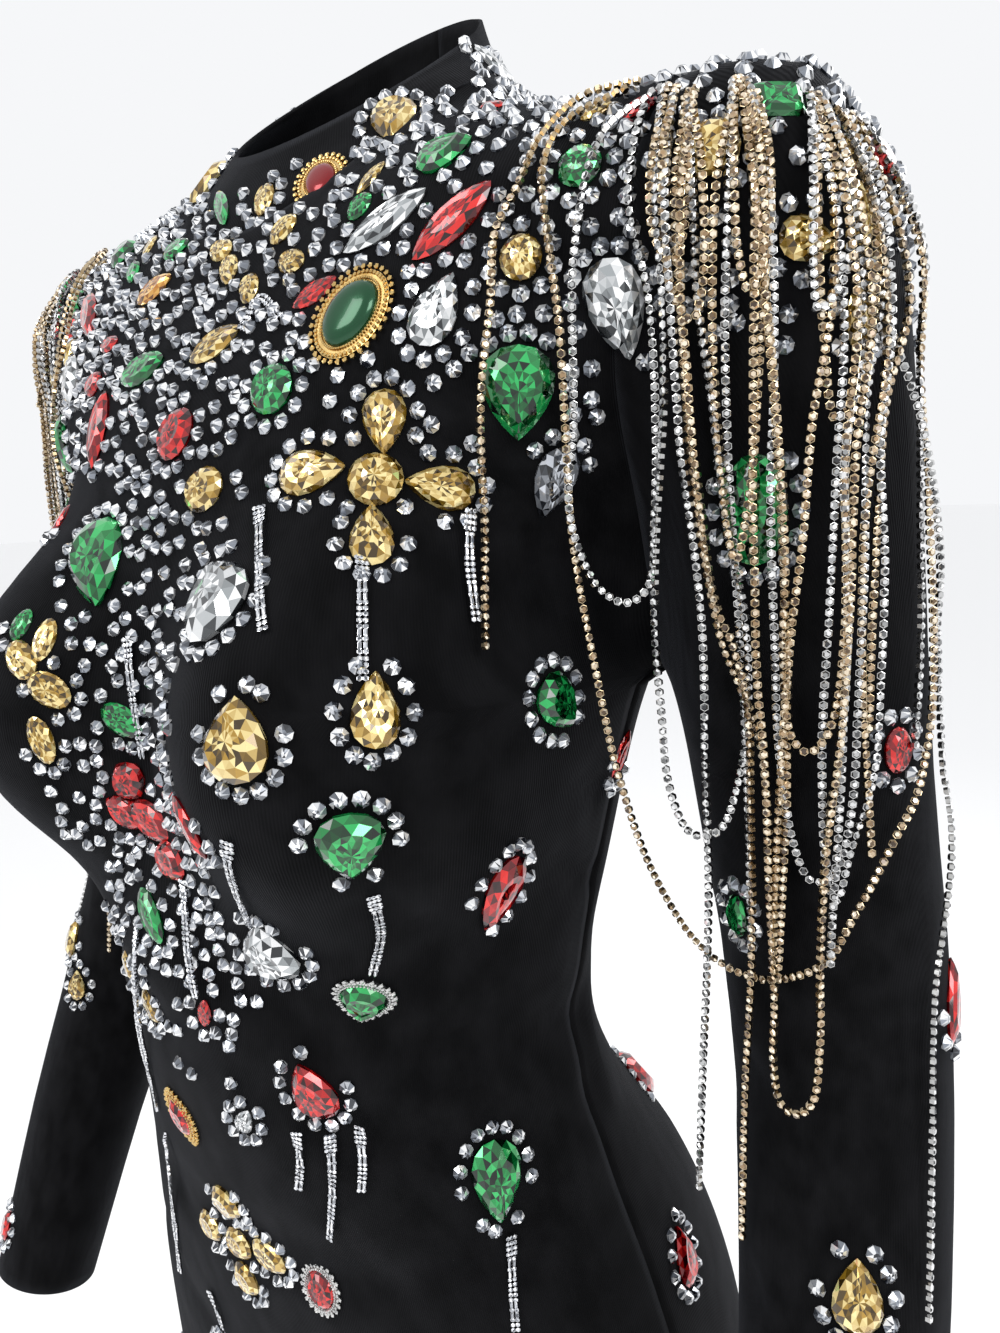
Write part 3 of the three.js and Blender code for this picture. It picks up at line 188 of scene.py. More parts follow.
# Stones read in the picture: cut, glass, px, py, long, wide, turn clockwise from upright, share
# of the edge that small stones ring, and 1 where a second one is sewn on the other side
STONES = (
    ("oval", "red", 322, 182, 17, 13, 0, 0, 0),
    ("oval", "green", 352, 315, 26, 19, 35, 0, 0),
    ("pear", "amber", 394, 122, 28, 20, 180, 0.9, 1),
    ("pear", "green", 445, 155, 22, 18, 60, 0.8, 1),
    ("oval", "green", 360, 207, 12, 9, 35, 0, 1),
    ("navette", "amber", 371, 178, 17, 6, 40, 0, 1),
    ("navette", "clear", 385, 222, 36, 13, 52, 0.8, 0),
    ("navette", "red", 452, 222, 36, 14, 45, 0.7, 1),
    ("oval", "clear", 495, 68, 24, 11, 110, 0.8, 1),
    ("oval", "red", 493, 107, 10, 7, 90, 0.6, 1),
    ("oval", "amber", 265, 200, 16, 10, 10, 0.5, 0),
    ("oval", "amber", 222, 251, 14, 10, 90, 0.5, 0),
    ("oval", "amber", 284, 230, 14, 10, 40, 0.5, 0),
    ("oval", "amber", 230, 270, 14, 10, 0, 0.5, 0),
    ("oval", "amber", 292, 262, 14, 10, 100, 0.5, 0),
    ("oval", "amber", 250, 289, 14, 10, 0, 0.5, 0),
    ("navette", "green", 222, 208, 30, 8, -12, 0, 0),
    ("navette", "red", 315, 293, 20, 9, 55, 0.8, 0),
    ("pear", "clear", 437, 310, 26, 18, 25, 0.8, 1),
    ("round", "green", 273, 390, 19, 19, 0, 0.9, 0),
    ("oval", "red", 177, 435, 22, 18, 30, 0.9, 0),
    ("navette", "amber", 215, 345, 28, 12, 55, 0.7, 0),
    ("navette", "green", 143, 370, 30, 14, 60, 0.7, 0),
    ("oval", "red", 95, 385, 14, 11, 40, 0.6, 0),
    ("navette", "red", 72, 335, 20, 9, 60, 0.6, 0),
    ("navette", "red", 110, 345, 16, 8, 60, 0.4, 0),
    ("navette", "red", 100, 430, 34, 14, 10, 0.6, 0),
    ("oval", "amber", 205, 490, 20, 17, 60, 0, 0),
    ("navette", "orange", 155, 290, 24, 11, 50, 0.6, 0),
    ("oval", "green", 177, 250, 16, 10, 60, 0.6, 0),
    ("pear", "green", 98, 563, 40, 30, 180, 0.9, 0),
    ("pear", "clear", 219, 597, 38, 32, 0, 1.0, 0),
    ("pear", "amber", 237, 740, 27, 25, 0, 1.0, 0),
    ("pear", "amber", 313, 472, 26, 18, 80, 0.7, 0),
    ("round", "amber", 376, 480, 19, 19, 0, 0.5, 0),
    ("pear", "amber", 440, 487, 24, 16, -80, 0.7, 0),
    ("pear", "amber", 385, 422, 22, 17, 180, 0.7, 0),
    ("pear", "amber", 372, 535, 24, 16, 0, 0.7, 0),
    ("pear", "green", 518, 393, 30, 26, 180, 0.25, 1),
    ("pear", "clear", 617, 310, 32, 21, 165, 0.6, 1),
    ("oval", "amber", 521, 258, 16, 14, 0, 0.7, 1),
    ("round", "green", 580, 167, 15, 15, 0, 0.8, 1),
    ("pear", "smoke", 553, 483, 26, 17, 200, 0.4, 1),
    ("pear", "amber", 705, 153, 22, 18, 235, 0.5, 1),
    ("navette", "red", 590, 97, 26, 9, 65, 0.5, 1),
    ("oval", "amber", 597, 112, 12, 8, 60, 0, 1),
    ("oval", "red", 640, 108, 12, 8, 60, 0.4, 1),
    ("baguette", "green", 778, 101, 16, 13, 90, 0.4, 1),
    ("oval", "red", 880, 158, 16, 12, 20, 0.4, 1),
    ("pear", "amber", 808, 240, 19, 15, 100, 0.6, 1),
    ("oval", "amber", 845, 158, 20, 10, 20, 0.4, 1),
    ("oval", "amber", 862, 215, 20, 10, 0, 0.4, 1),
    ("oval", "amber", 858, 320, 20, 9, 0, 0.4, 1),
    ("oval", "green", 755, 510, 36, 21, 0, 0.8, 1),
    ("pear", "green", 556, 703, 24, 20, 150, 0.9, 1),
    ("pear", "green", 350, 845, 25, 24, 180, 1.0, 0),
    ("pear", "amber", 375, 710, 24, 17, 0, 0.9, 0),
    ("pear", "red", 500, 892, 33, 18, 205, 0.9, 1),
    ("oval", "red", 897, 750, 16, 12, 0, 1.0, 1),
    ("oval", "green", 738, 915, 18, 11, 0, 1.0, 1),
    ("pear", "clear", 270, 950, 27, 26, -25, 1.0, 0),
    ("pear", "green", 364, 1000, 19, 20, 190, 0, 0),
    ("pear", "red", 313, 1090, 27, 20, -30, 1.0, 0),
    ("pear", "clear", 245, 1120, 14, 9, 20, 0.9, 0),
    ("oval", "amber", 228, 1200, 18, 17, -20, 0.7, 0),
    ("oval", "amber", 212, 1224, 18, 13, -40, 0.5, 0),
    ("oval", "amber", 240, 1242, 18, 14, -50, 0.5, 0),
    ("oval", "amber", 270, 1255, 21, 13, -50, 0.8, 0),
    ("oval", "amber", 248, 1277, 17, 14, -30, 0.8, 0),
    ("navette", "red", 183, 1115, 19, 14, -20, 0, 0),
    ("oval", "red", 322, 1288, 17, 14, -20, 0, 0),
    ("pear", "green", 497, 1180, 33, 22, 175, 1.0, 1),
    ("pear", "red", 683, 1255, 27, 17, -15, 1.0, 1),
    ("pear", "amber", 857, 1295, 24, 18, 0, 0.9, 1),
    ("pear", "red", 950, 1000, 30, 12, 15, 0.5, 1),
    ("oval", "amber", 600, 985, 20, 10, 10, 0.6, 1),
    ("navette", "red", 620, 755, 22, 8, 20, 0.5, 1),
    ("pear", "green", 690, 1140, 24, 14, 20, 0.6, 1),
    ("navette", "red", 130, 780, 16, 17, -38, 0.3, 0),
    ("navette", "red", 126, 812, 20, 13, -55, 0.3, 0),
    ("navette", "red", 153, 820, 26, 15, -50, 0.5, 0),
    ("navette", "red", 191, 826, 26, 11, -66, 0.5, 0),
    ("navette", "red", 172, 860, 20, 15, -45, 0.5, 0),
    ("oval", "green", 122, 720, 20, 12, -60, 0.4, 0),
    ("oval", "green", 152, 915, 24, 12, -20, 0.6, 0),
    ("navette", "red", 205, 1013, 12, 7, 0, 0.7, 0),
    ("oval", "amber", 130, 965, 14, 9, 0, 0.5, 0),
    ("oval", "amber", 152, 1005, 16, 10, -20, 0.5, 0),
    ("oval", "green", 45, 835, 30, 12, -35, 0.4, 0),
    ("pear", "amber", 78, 985, 18, 15, 0, 1.0, 0),
    ("oval", "red", 8, 1225, 18, 12, 0, 1.0, 0),
    ("oval", "red", 8, 465, 18, 13, 0, 0.6, 0),
    ("oval", "red", 30, 460, 12, 9, 60, 0.4, 0),
    ("oval", "green", 35, 530, 16, 9, 0, 0.6, 0),
    ("navette", "red", 62, 520, 16, 7, 0, 0.4, 0),
    ("oval", "green", 22, 625, 14, 9, 30, 0.5, 0),
    ("oval", "amber", 22, 660, 18, 13, -30, 0.3, 0),
    ("oval", "amber", 50, 690, 20, 13, -60, 0.4, 0),
    ("oval", "amber", 45, 640, 18, 10, 20, 0.4, 0),
    ("oval", "amber", 42, 740, 20, 11, -20, 0.5, 0),
    ("oval", "clear", 30, 395, 26, 15, 60, 0.7, 0),
    ("oval", "amber", 22, 345, 16, 9, 60, 0.5, 0),
)

# Stones where the picture does not reach: side (-1 front, 1 back), cut, glass, x, z, long,
# wide, turn, share ringed; each is sewn on both sides
HIDDEN_STONES = (
    (1, "pear", "amber", 46, -84, 28, 20, 200, 0.8),
    (1, "oval", "red", 96, -104, 26, 20, 20, 0.8),
    (1, "pear", "green", 60, -168, 32, 24, 180, 0.85),
    (1, "navette", "red", 104, -206, 34, 14, 20, 0.7),
    (1, "pear", "clear", 48, -262, 36, 26, 0, 0.85),
    (1, "oval", "amber", 84, -330, 30, 22, 30, 0.9),
    (1, "pear", "green", 42, -412, 32, 24, 180, 0.85),
    (1, "pear", "red", 96, -486, 34, 24, 200, 0.85),
    (1, "oval", "amber", 52, -560, 36, 26, 0, 0.9),
    (1, "pear", "green", 112, -640, 34, 24, 180, 0.85),
    (1, "pear", "red", 54, -716, 38, 26, 0, 0.85),
    (-1, "pear", "green", 44, -610, 38, 26, 180, 0.85),
    (-1, "navette", "red", 112, -664, 36, 15, 30, 0.8),
    (-1, "oval", "amber", 56, -742, 34, 26, 0, 0.9),
)

# Stones in a beaded frame: pixel of the stone, how far the frame stands out round it in
# millimetres, its metal, and whether the stone is a smooth dome
FRAMED = (
    (322, 182, 5.0, "gold", True),
    (352, 315, 5.6, "gold", True),
    (364, 1000, 2.4, "silver", False),
    (183, 1115, 4.4, "gold", False),
    (322, 1288, 2.6, "silver", False),
)

# Short rows of cups sewn on the cloth, from pixel to pixel
DROPS = (
    ((362, 560), (362, 630), (362, 692)),
    ((262, 510), (262, 575), (266, 640)),
    ((468, 512), (466, 570), (474, 628)),
    ((245, 330), (262, 300), (284, 322)),
    ((130, 640), (136, 700), (146, 760)),
    ((372, 890), (380, 930), (372, 975)),
    ((230, 840), (236, 880), (252, 925)),
    ((300, 1128), (302, 1160), (300, 1190)),
    ((333, 1130), (334, 1180), (333, 1240)),
    ((362, 1120), (364, 1160), (362, 1195)),
    ((510, 1235), (512, 1280), (516, 1332)),
    ((186, 880), (196, 940), (202, 1000)),
    ((168, 1135), (176, 1200), (186, 1270)),
    ((160, 1150), (164, 1220), (170, 1300)),
    ((140, 930), (150, 1020), (160, 1110)),
    ((212, 1290), (220, 1310), (228, 1332)),
)

# Cup chain from the shoulder: metal, clearance to the cloth, how many points at each end lie
# on the cloth, and the pixels it hangs through
STRANDS = (
    ("gold", 5, 5, 0, (
        (640, 92), (590, 110), (545, 150), (522, 195), (500, 240), (490, 300), (480, 400),
        (484, 520), (485, 662))),
    ("gold", 6, 4, 2, (
        (628, 100), (570, 140), (548, 180), (553, 260), (560, 330), (565, 420), (572, 540),
        (597, 680), (619, 775), (650, 865), (693, 937), (727, 966), (762, 978), (800, 975),
        (828, 960), (850, 925), (870, 890), (895, 840), (918, 790), (928, 720), (930, 620),
        (926, 500), (920, 380), (900, 250), (862, 150))),
    ("silver", 7, 4, 3, (
        (664, 100), (610, 150), (578, 260), (566, 420), (568, 500), (575, 540), (600, 590),
        (625, 603), (648, 588), (655, 520), (656, 420), (652, 300), (636, 200), (650, 108))),
    ("silver", 9, 3, 3, (
        (668, 100), (662, 200), (668, 300), (664, 400), (657, 520), (655, 617), (662, 717),
        (669, 784), (688, 830), (703, 836), (722, 828), (736, 794), (746, 737), (748, 640),
        (726, 520), (712, 400), (702, 300), (696, 200), (690, 104))),
    ("silver", 10, 3, 0, (
        (678, 102), (672, 200), (676, 300), (681, 450), (693, 536), (702, 620), (706, 784),
        (709, 880), (707, 975), (703, 1071), (699, 1196))),
    ("gold", 11, 3, 0, (
        (696, 100), (684, 200), (686, 300), (690, 400), (700, 500), (715, 600), (735, 650),
        (747, 700), (751, 800), (752, 960), (746, 1080), (742, 1246))),
    ("gold", 8, 3, 3, (
        (690, 102), (680, 200), (684, 310), (688, 420), (702, 540), (722, 640), (742, 690),
        (760, 740), (770, 860), (776, 980), (784, 860), (788, 740), (784, 560), (776, 420),
        (764, 300), (752, 190), (744, 96))),
    ("silver", 7, 3, 0, (
        (732, 92), (727, 200), (728, 350), (728, 450), (735, 560), (744, 700), (750, 860),
        (752, 990))),
    ("gold", 10, 3, 3, (
        (744, 92), (750, 200), (752, 300), (752, 500), (755, 600), (757, 680), (765, 760),
        (770, 900), (775, 1000), (774, 1070), (782, 1105), (797, 1114), (812, 1102), (819, 1050),
        (820, 960), (826, 850), (840, 740), (850, 600), (856, 450), (850, 320), (836, 200),
        (816, 108))),
    ("silver", 8, 3, 3, (
        (746, 94), (766, 200), (772, 350), (770, 480), (772, 560), (775, 640), (780, 760),
        (796, 850), (812, 880), (832, 876), (850, 820), (858, 700), (864, 560), (866, 400),
        (862, 280), (850, 190), (832, 122))),
    ("gold", 9, 3, 3, (
        (740, 94), (748, 180), (764, 300), (778, 420), (786, 560), (784, 660), (792, 736),
        (808, 752), (826, 736), (838, 690), (846, 600), (846, 450), (842, 330), (826, 200),
        (806, 106))),
    ("gold", 8, 3, 0, (
        (806, 106), (818, 200), (820, 300), (812, 420), (802, 540), (790, 640), (782, 760),
        (776, 880), (772, 985))),
    ("silver", 9, 3, 0, (
        (818, 112), (836, 200), (843, 380), (845, 450), (848, 560), (848, 640), (845, 700),
        (840, 800), (835, 880), (830, 975))),
    ("gold", 8, 3, 0, (
        (830, 118), (854, 220), (868, 350), (866, 500), (862, 600), (862, 700), (868, 800),
        (872, 870))),
    ("silver", 8, 3, 3, (
        (838, 122), (860, 200), (870, 320), (880, 440), (884, 560), (880, 680), (872, 780),
        (850, 850), (836, 900), (826, 860), (822, 760), (828, 620), (836, 470), (832, 330),
        (818, 200), (800, 108))),
    ("gold", 7, 3, 0, (
        (842, 124), (872, 210), (888, 305), (886, 400), (878, 500), (872, 620), (868, 740))),
    ("silver", 6, 3, 0, (
        (846, 126), (884, 190), (905, 270), (914, 380), (918, 500), (920, 640), (914, 760))),
    ("gold", 8, 3, 3, (
        (672, 98), (656, 180), (658, 240), (672, 262), (686, 240), (690, 180), (686, 100))),
    ("gold", 9, 3, 3, (
        (680, 98), (668, 170), (676, 290), (692, 320), (706, 290), (704, 180), (692, 100))),
    ("gold", 9, 3, 3, (
        (734, 90), (732, 170), (738, 260), (750, 290), (762, 260), (758, 170), (746, 92))),
    ("gold", 8, 3, 3, (
        (738, 90), (720, 180), (716, 300), (720, 460), (736, 560), (752, 480), (760, 320),
        (768, 180), (752, 94))),
    ("silver", 8, 3, 3, (
        (804, 102), (802, 190), (804, 280), (818, 310), (832, 280), (832, 190), (818, 110))),
    ("gold", 7, 3, 3, (
        (812, 106), (808, 200), (814, 320), (836, 420), (856, 320), (854, 210), (836, 118))),
    ("silver", 5, 5, 0, (
        (880, 330), (905, 420), (924, 560), (932, 700), (936, 840), (934, 1000), (932, 1130),
        (930, 1250), (928, 1332))),
)

# Glass and its foil, with painted light: the darkest, middle and brightest facet colours, which
# random facets take as painted shade, middle tone and painted reflection
GLASS = {
    "red": ("#240003", "#8c0510", "#e4241e"),
    "green": ("#011207", "#04602a", "#25b45c"),
    "amber": ("#3d2c06", "#ad8628", "#f6e2a0"),
    "orange": ("#4a2402", "#b06a0c", "#ffcf70"),
    "clear": ("#26292c", "#9fa4a6", "#ffffff"),
    "smoke": ("#0a0b0d", "#41454c", "#c4c8d0"),
}


# ---- values and colours


def srgb(code):
    """Opaque linear colour from an sRGB hex value"""
    parts = [int(code[i:i + 2], 16) / 255 for i in (1, 3, 5)]
    linear = [c / 12.92 if c <= 0.04045 else ((c + 0.055) / 1.055) ** 2.4 for c in parts]
    return (*linear, 1.0)


def add_node(tree, kind, values=None, links=None):
    """Add a node, set its properties and sockets, and link its inputs from other nodes"""
    node = tree.nodes.new(kind)
    for name, value in (values or {}).items():
        if name in node.inputs:
            node.inputs[name].default_value = value
        else:
            setattr(node, name, value)
    for name, (source, output) in (links or {}).items():
        tree.links.new(source.outputs[output], node.inputs[name])
    return node


def new_material(name, values):
    """A material with one shader, and the tree and shader to add to"""
    material = bpy.data.materials.new(name)
    material.use_nodes = True
    tree = material.node_tree
    tree.nodes.clear()
    shader = add_node(tree, "ShaderNodeBsdfPrincipled", values)
    add_node(tree, "ShaderNodeOutputMaterial", links={"Surface": (shader, "BSDF")})
    return material, tree, shader


# ---- the worn form


def table_curve(rows, key=None):
    """Smooth curve through table rows, by their first value or by key"""
    table = np.array(rows, float)
    at = np.array(key, float) if key is not None else table[:, 0]
    values = table if key is not None else table[:, 1:]
    order = np.argsort(at)
    at, values = at[order], values[order]
    slopes = np.gradient(values, at, axis=0)

    def curve(place):
        x = np.clip(place, at[0], at[-1])
        i = np.clip(np.searchsorted(at, x) - 1, 0, len(at) - 2)
        gap = (at[i + 1] - at[i])[..., None]
        u = ((x - at[i]) / gap[..., 0])[..., None]
        return (values[i] * (2 * u**3 - 3 * u**2 + 1) + slopes[i] * gap * (u**3 - 2 * u**2 + u)
                + values[i + 1] * (3 * u**2 - 2 * u**3) + slopes[i + 1] * gap * (u**3 - u**2))
    return curve


def unit(v):
    """Vectors of length 1 in the same directions"""
    return v / np.linalg.norm(v, axis=-1, keepdims=True)


def run_along(line):
    """How far along a line each of its points lies"""
    return np.concatenate([[0], np.cumsum(np.linalg.norm(np.diff(line, axis=0), axis=1))])


def points_along(line, runs, places):
    """Points of a line at these places along it"""
    return np.stack([np.interp(places, runs, line[:, k]) for k in range(3)], -1)


section_at = table_curve(SECTIONS)
sleeve_at = table_curve(SLEEVE_LINE, range(len(SLEEVE_LINE)))
# The sleeve's line again with three points for each step
SLEEVE_TUBE = sleeve_at(np.linspace(0, len(SLEEVE_LINE) - 1, 3 * len(SLEEVE_LINE) - 2))


def body_level(p):
    """Rough distance from the body's level sections"""
    half, front, back, middle, power = np.moveaxis(section_at(p[..., 2]), -1, 0)
    along = p[..., 1] - middle
    depth = np.where(along < 0, front, back)
    sum_of_powers = (np.abs(p[..., 0]) / half) ** power + (np.abs(along) / depth) ** power
    reach = sum_of_powers ** (1 / power) + 1e-9
    over_neck = np.maximum(p[..., 2] - NECK_CAP_Z, 0)
    return np.hypot(p[..., 0], along) * (1 - 1 / reach) + over_neck


def slope_of(distance, p):
    """Gradient of a distance at each point"""
    steps = np.eye(3) * SLOPE_STEP
    return np.stack([distance(p + s) - distance(p - s) for s in steps], -1) / (2 * SLOPE_STEP)


def soft_min(a, b, width):
    """The lesser of two distances, rounded where they meet"""
    overlap = np.maximum(width - np.abs(a - b), 0)
    return np.minimum(a, b) - overlap**2 / (4 * width)


def bodice_distance(p):
    """Distance from the body and bust, without sleeves"""
    slope = np.linalg.norm(slope_of(body_level, p), axis=-1)
    body = body_level(p) / np.maximum(slope, 1)
    q = np.stack([np.abs(p[..., 0]), p[..., 1], p[..., 2]], -1) - CUP_MIDDLE
    near = np.linalg.norm(q / CUP_RADII, axis=-1) + 1e-9
    fall = np.linalg.norm(q / CUP_RADII**2, axis=-1) + 1e-12
    return soft_min(body, near * (near - 1) / fall, CUP_BLEND)


def sleeve_distance(p):
    """Distance from both sleeves"""
    q = np.stack([np.abs(p[..., 0]), p[..., 1], p[..., 2]], -1)
    best = np.full(q.shape[:-1], np.inf)
    for a, b in zip(SLEEVE_TUBE[:-1], SLEEVE_TUBE[1:]):
        along = b[:3] - a[:3]
        t = np.clip((q - a[:3]) @ along / (along @ along), 0, 1)
        gap = np.linalg.norm(q - a[:3] - t[..., None] * along, axis=-1) - (a[3] + (b[3] - a[3]) * t)
        best = np.minimum(best, gap)
    return best


def cloth_distance(p):
    """Distance from the cloth's outer face, below zero inside"""
    return soft_min(bodice_distance(p), sleeve_distance(p), SLEEVE_BLEND)


def cloth_normal(p):
    """Outward direction of the cloth"""
    return unit(slope_of(cloth_distance, p))


def outward(start, way, distance=cloth_distance):
    """From points inside the form, go outwards to the cloth"""
    way = unit(way)
    p = start + way * FIRST_STEP
    for _ in range(STEPS_OUT):
        step = np.clip(-distance(p), -LONGEST_STEP, LONGEST_STEP) * STEP_SHARE
        p = p + way * step[..., None]
    return p


def onto_cloth(p):
    """Move points that are near the cloth on to it"""
    for _ in range(MOVES):
        gap = np.clip(cloth_distance(p), -LONGEST_MOVE, LONGEST_MOVE)
        p = p - cloth_normal(p) * gap[..., None]
    return p


def smooth_step(x, low, high):
    """0 below low, 1 above high, and smooth between"""
    t = np.clip((x - low) / (high - low), 0, 1)
    return t * t * (3 - 2 * t)


def settle(guess):
    """Put loose guesses of panel points on the cloth"""
    middle = section_at(guess[..., 2])[..., 3]
    inner = np.stack([guess[..., 0] * ROW_START, middle, guess[..., 2]], -1)
    level = outward(inner, guess - inner + 1e-9, bodice_distance)
    below = smooth_step(-guess[..., 2], *LEVEL_ROWS)[..., None]
    return onto_cloth(guess * (1 - below) + level * below)


def creased(p):
    """Points moved in by the largest creases"""
    middle = section_at(p[..., 2])[..., 3]
    depth = np.zeros(p.shape[:-1])
    for side, x1, z1, x2, z2, half_width, trough in FOLDS:
        ux, uz = x2 - x1, z2 - z1
        t = np.clip(((p[..., 0] - x1) * ux + (p[..., 2] - z1) * uz) / (ux * ux + uz * uz), 0, 1)
        off = np.hypot(p[..., 0] - x1 - t * ux, p[..., 2] - z1 - t * uz) / half_width
        faces = smooth_step((p[..., 1] - middle) * side, *CREASE_FADE)
        depth += trough * np.exp(-off * off) * faces
    for start, end, half_width, trough in PULLS:
        for hand in (1, -1):
            lower = (0, 0, 0) if hand > 0 else (0, 0, RIGHT_PULLS_LOWER)
            a, b = ((np.array(q) - lower) * (hand, 1, 1) for q in (start, end))
            t = np.clip((p - a) @ (b - a) / ((b - a) @ (b - a)), 0, 1)[..., None]
            off = np.linalg.norm(p - a - t * (b - a), axis=-1) / half_width
            depth += trough * np.exp(-off * off)
    return p - cloth_normal(p) * depth[..., None]


# ---- the cut pieces' edges


def fan(turns):
    """Level directions by turn: 0 to the front, 90 to the wearer's left, 180 behind"""
    a = np.radians(np.asarray(turns, float))
    return np.stack([np.sin(a), -np.cos(a), np.zeros_like(a)], -1)


def neck_points(turns):
    """Neck seam"""
    ways = fan(turns)
    front, behind = np.maximum(-ways[:, 1], 0), np.maximum(ways[:, 1], 0)
    z = NECK_SIDE_Z - NECK_FRONT_DROP * front**NECK_SCOOP + NECK_BACK_RISE * behind
    start = np.stack([np.zeros_like(z), np.full_like(z, NECK_MIDDLE_Y), z], -1)
    return outward(start, ways)


def cap_points(part, turns):
    """Ring of the sleeve cap: part 0 is the armhole, 1 the cap's end; turn 0 is on top"""
    end = sleeve_at(np.array(CAP_END))[:3]
    middle = ARMHOLE_MIDDLE * (1 - part) + end * part
    up = unit((middle - CAP_PIVOT) * (1, 0, 1))
    a = np.radians(turns)[:, None]
    ways = up * np.cos(a) + np.array((0, -1, 0)) * np.sin(a)
    return outward(np.broadcast_to(middle, ways.shape), ways)


def sleeve_points(place, turns):
    """Ring of the sleeve's tube below the cap"""
    middle = sleeve_at(np.array(place))[:3]
    after, before = (sleeve_at(np.array(place + step))[:3] for step in (0.05, -0.05))
    down = unit(after - before)
    out = unit(np.array((1.0, 0, 0)) - down * down[0])
    ahead = np.cross(out, down)
    ahead = ahead * -np.sign(ahead[1])
    a = np.radians(turns)[:, None]
    ways = out * np.cos(a) + ahead * np.sin(a)
    return outward(np.broadcast_to(middle, ways.shape), ways)


def mirror(p):
    """The same points on the wearer's other side"""
    return p * np.array((-1, 1, 1))


def side_edges(facing):
    """Edge of a body piece at the wearer's left: armhole, then side seam"""
    turns = np.linspace(0, 180, ARMHOLE_ROWS + 1) * facing
    hole = cap_points(0, turns)
    z = np.linspace(hole[-1, 2], HEM_Z, SIDE_ROWS + 1)[1:]
    half, _, _, middle, _ = section_at(z).T
    start = np.stack([half * SIDE_START, middle, z], -1)
    side = outward(start, np.broadcast_to((1.0, 0, 0), start.shape))
    return np.concatenate([hole, side])


def shoulder_seam():
    """Shoulder seam from the neck out to the armhole"""
    part = np.linspace(0, 1, SHOULDER_COLUMNS + 1)[:, None]
    ends = neck_points([90.0])[0], cap_points(0, np.array([0.0]))[0]
    return settle(ends[0] * (1 - part) + ends[1] * part)


def hem_points(turns):
    """Hem line"""
    ways = fan(turns)
    middle = section_at(np.array(float(HEM_Z)))[3]
    return outward(np.broadcast_to((0, middle, HEM_Z), ways.shape), ways)


def centre_back(row_z):
    """Centre back seam at these heights"""
    middle = section_at(row_z)[:, 3]
    start = np.stack([np.zeros_like(row_z), middle, row_z], -1)
    return outward(start, np.broadcast_to((0, 1.0, 0), start.shape))


def evenly(line, share):
    """Space a row's points evenly along it by share"""
    runs = run_along(line)
    even = np.linspace(0, runs[-1], len(line))
    return points_along(line, runs, runs * (1 - share) + even * share)


def fill_panel(top, bottom, start, end):
    """Points of a cut piece between its four edges, settled on the cloth"""
    rows, columns = len(start) - 1, len(top) - 1
    across = np.linspace(0, 1, columns + 1)[:, None]
    fade = ((1 - np.linspace(0, 1, rows + 1)) ** 3)[:, None, None]
    bow_top = top - (top[0] * (1 - across) + top[-1] * across)
    bow_bottom = bottom - (bottom[0] * (1 - across) + bottom[-1] * across)
    chords = start[:, None] * (1 - across) + end[:, None] * across
    guess = chords + bow_top * fade + bow_bottom * (1 - fade)
    grid = guess.copy()
    grid[1:-1, 1:-1] = settle(guess[1:-1, 1:-1])
    for i in range(1, rows):
        grid[i] = evenly(grid[i], min(i / (rows * EVEN_SHARE), 1))
    grid[1:-1, 1:-1] = onto_cloth(grid[1:-1, 1:-1])
    return grid


def front_grid():
    """Front, cut in one"""
    shoulder = shoulder_seam()
    neck = neck_points(np.linspace(-90, 90, 2 * HALF_NECK_COLUMNS + 1))
    top = np.concatenate([mirror(shoulder[:0:-1]), neck, shoulder[1:]])
    bottom = hem_points(np.linspace(-90, 90, len(top)))
    end = side_edges(1)
    return fill_panel(top, bottom, mirror(end), end)


def back_grid():
    """Left back, from the centre seam to the side"""
    neck = neck_points(np.linspace(180, 90, HALF_NECK_COLUMNS + 1))
    top = np.concatenate([neck, shoulder_seam()[1:]])
    bottom = hem_points(np.linspace(180, 90, len(top)))
    end = side_edges(-1)
    upper = np.linspace(neck[0, 2], end[ARMHOLE_ROWS, 2], ARMHOLE_ROWS + 1)
    lower = np.linspace(end[ARMHOLE_ROWS, 2], HEM_Z, SIDE_ROWS + 1)[1:]
    start = centre_back(np.concatenate([upper, lower]))
    return fill_panel(top, bottom, start, end)


def sleeve_grid():
    """Left sleeve, from the armhole to the cuff"""
    turns = np.linspace(0, 360, SLEEVE_TURNS + 1)
    cap = 1 - (1 - np.linspace(0, 1, CAP_RINGS + 1)) ** 1.5
    tube = np.linspace(CAP_END + 0.1, len(SLEEVE_LINE) - 1.05, SLEEVE_RINGS)
    rings = [cap_points(part, turns) for part in cap]
    rings += [sleeve_points(place, turns) for place in tube]
    return np.array(rings)


def collar_grid():
    """Stand collar, from the neck seam up to its sloping edge"""
    turns = np.linspace(180, -180, 4 * HALF_NECK_COLUMNS + 1)
    neck = neck_points(turns)
    ways = fan(turns)
    y = COLLAR_MIDDLE_Y + COLLAR_HALF_DEPTH * ways[:, 1]
    top = np.stack([COLLAR_HALF_WIDTH * ways[:, 0], y, COLLAR_EDGE_Z + COLLAR_SLOPE * y], -1)
    up = np.linspace(0, 1, COLLAR_ROWS + 1)[:, None, None]
    tucked = neck - ways - (0, 0, COLLAR_TUCK)
    return tucked * (1 - up) + top * up


# ---- cloth


# Distance between the bands of a wave texture at scale 1, in metres
WAVE_PITCH = 0.314


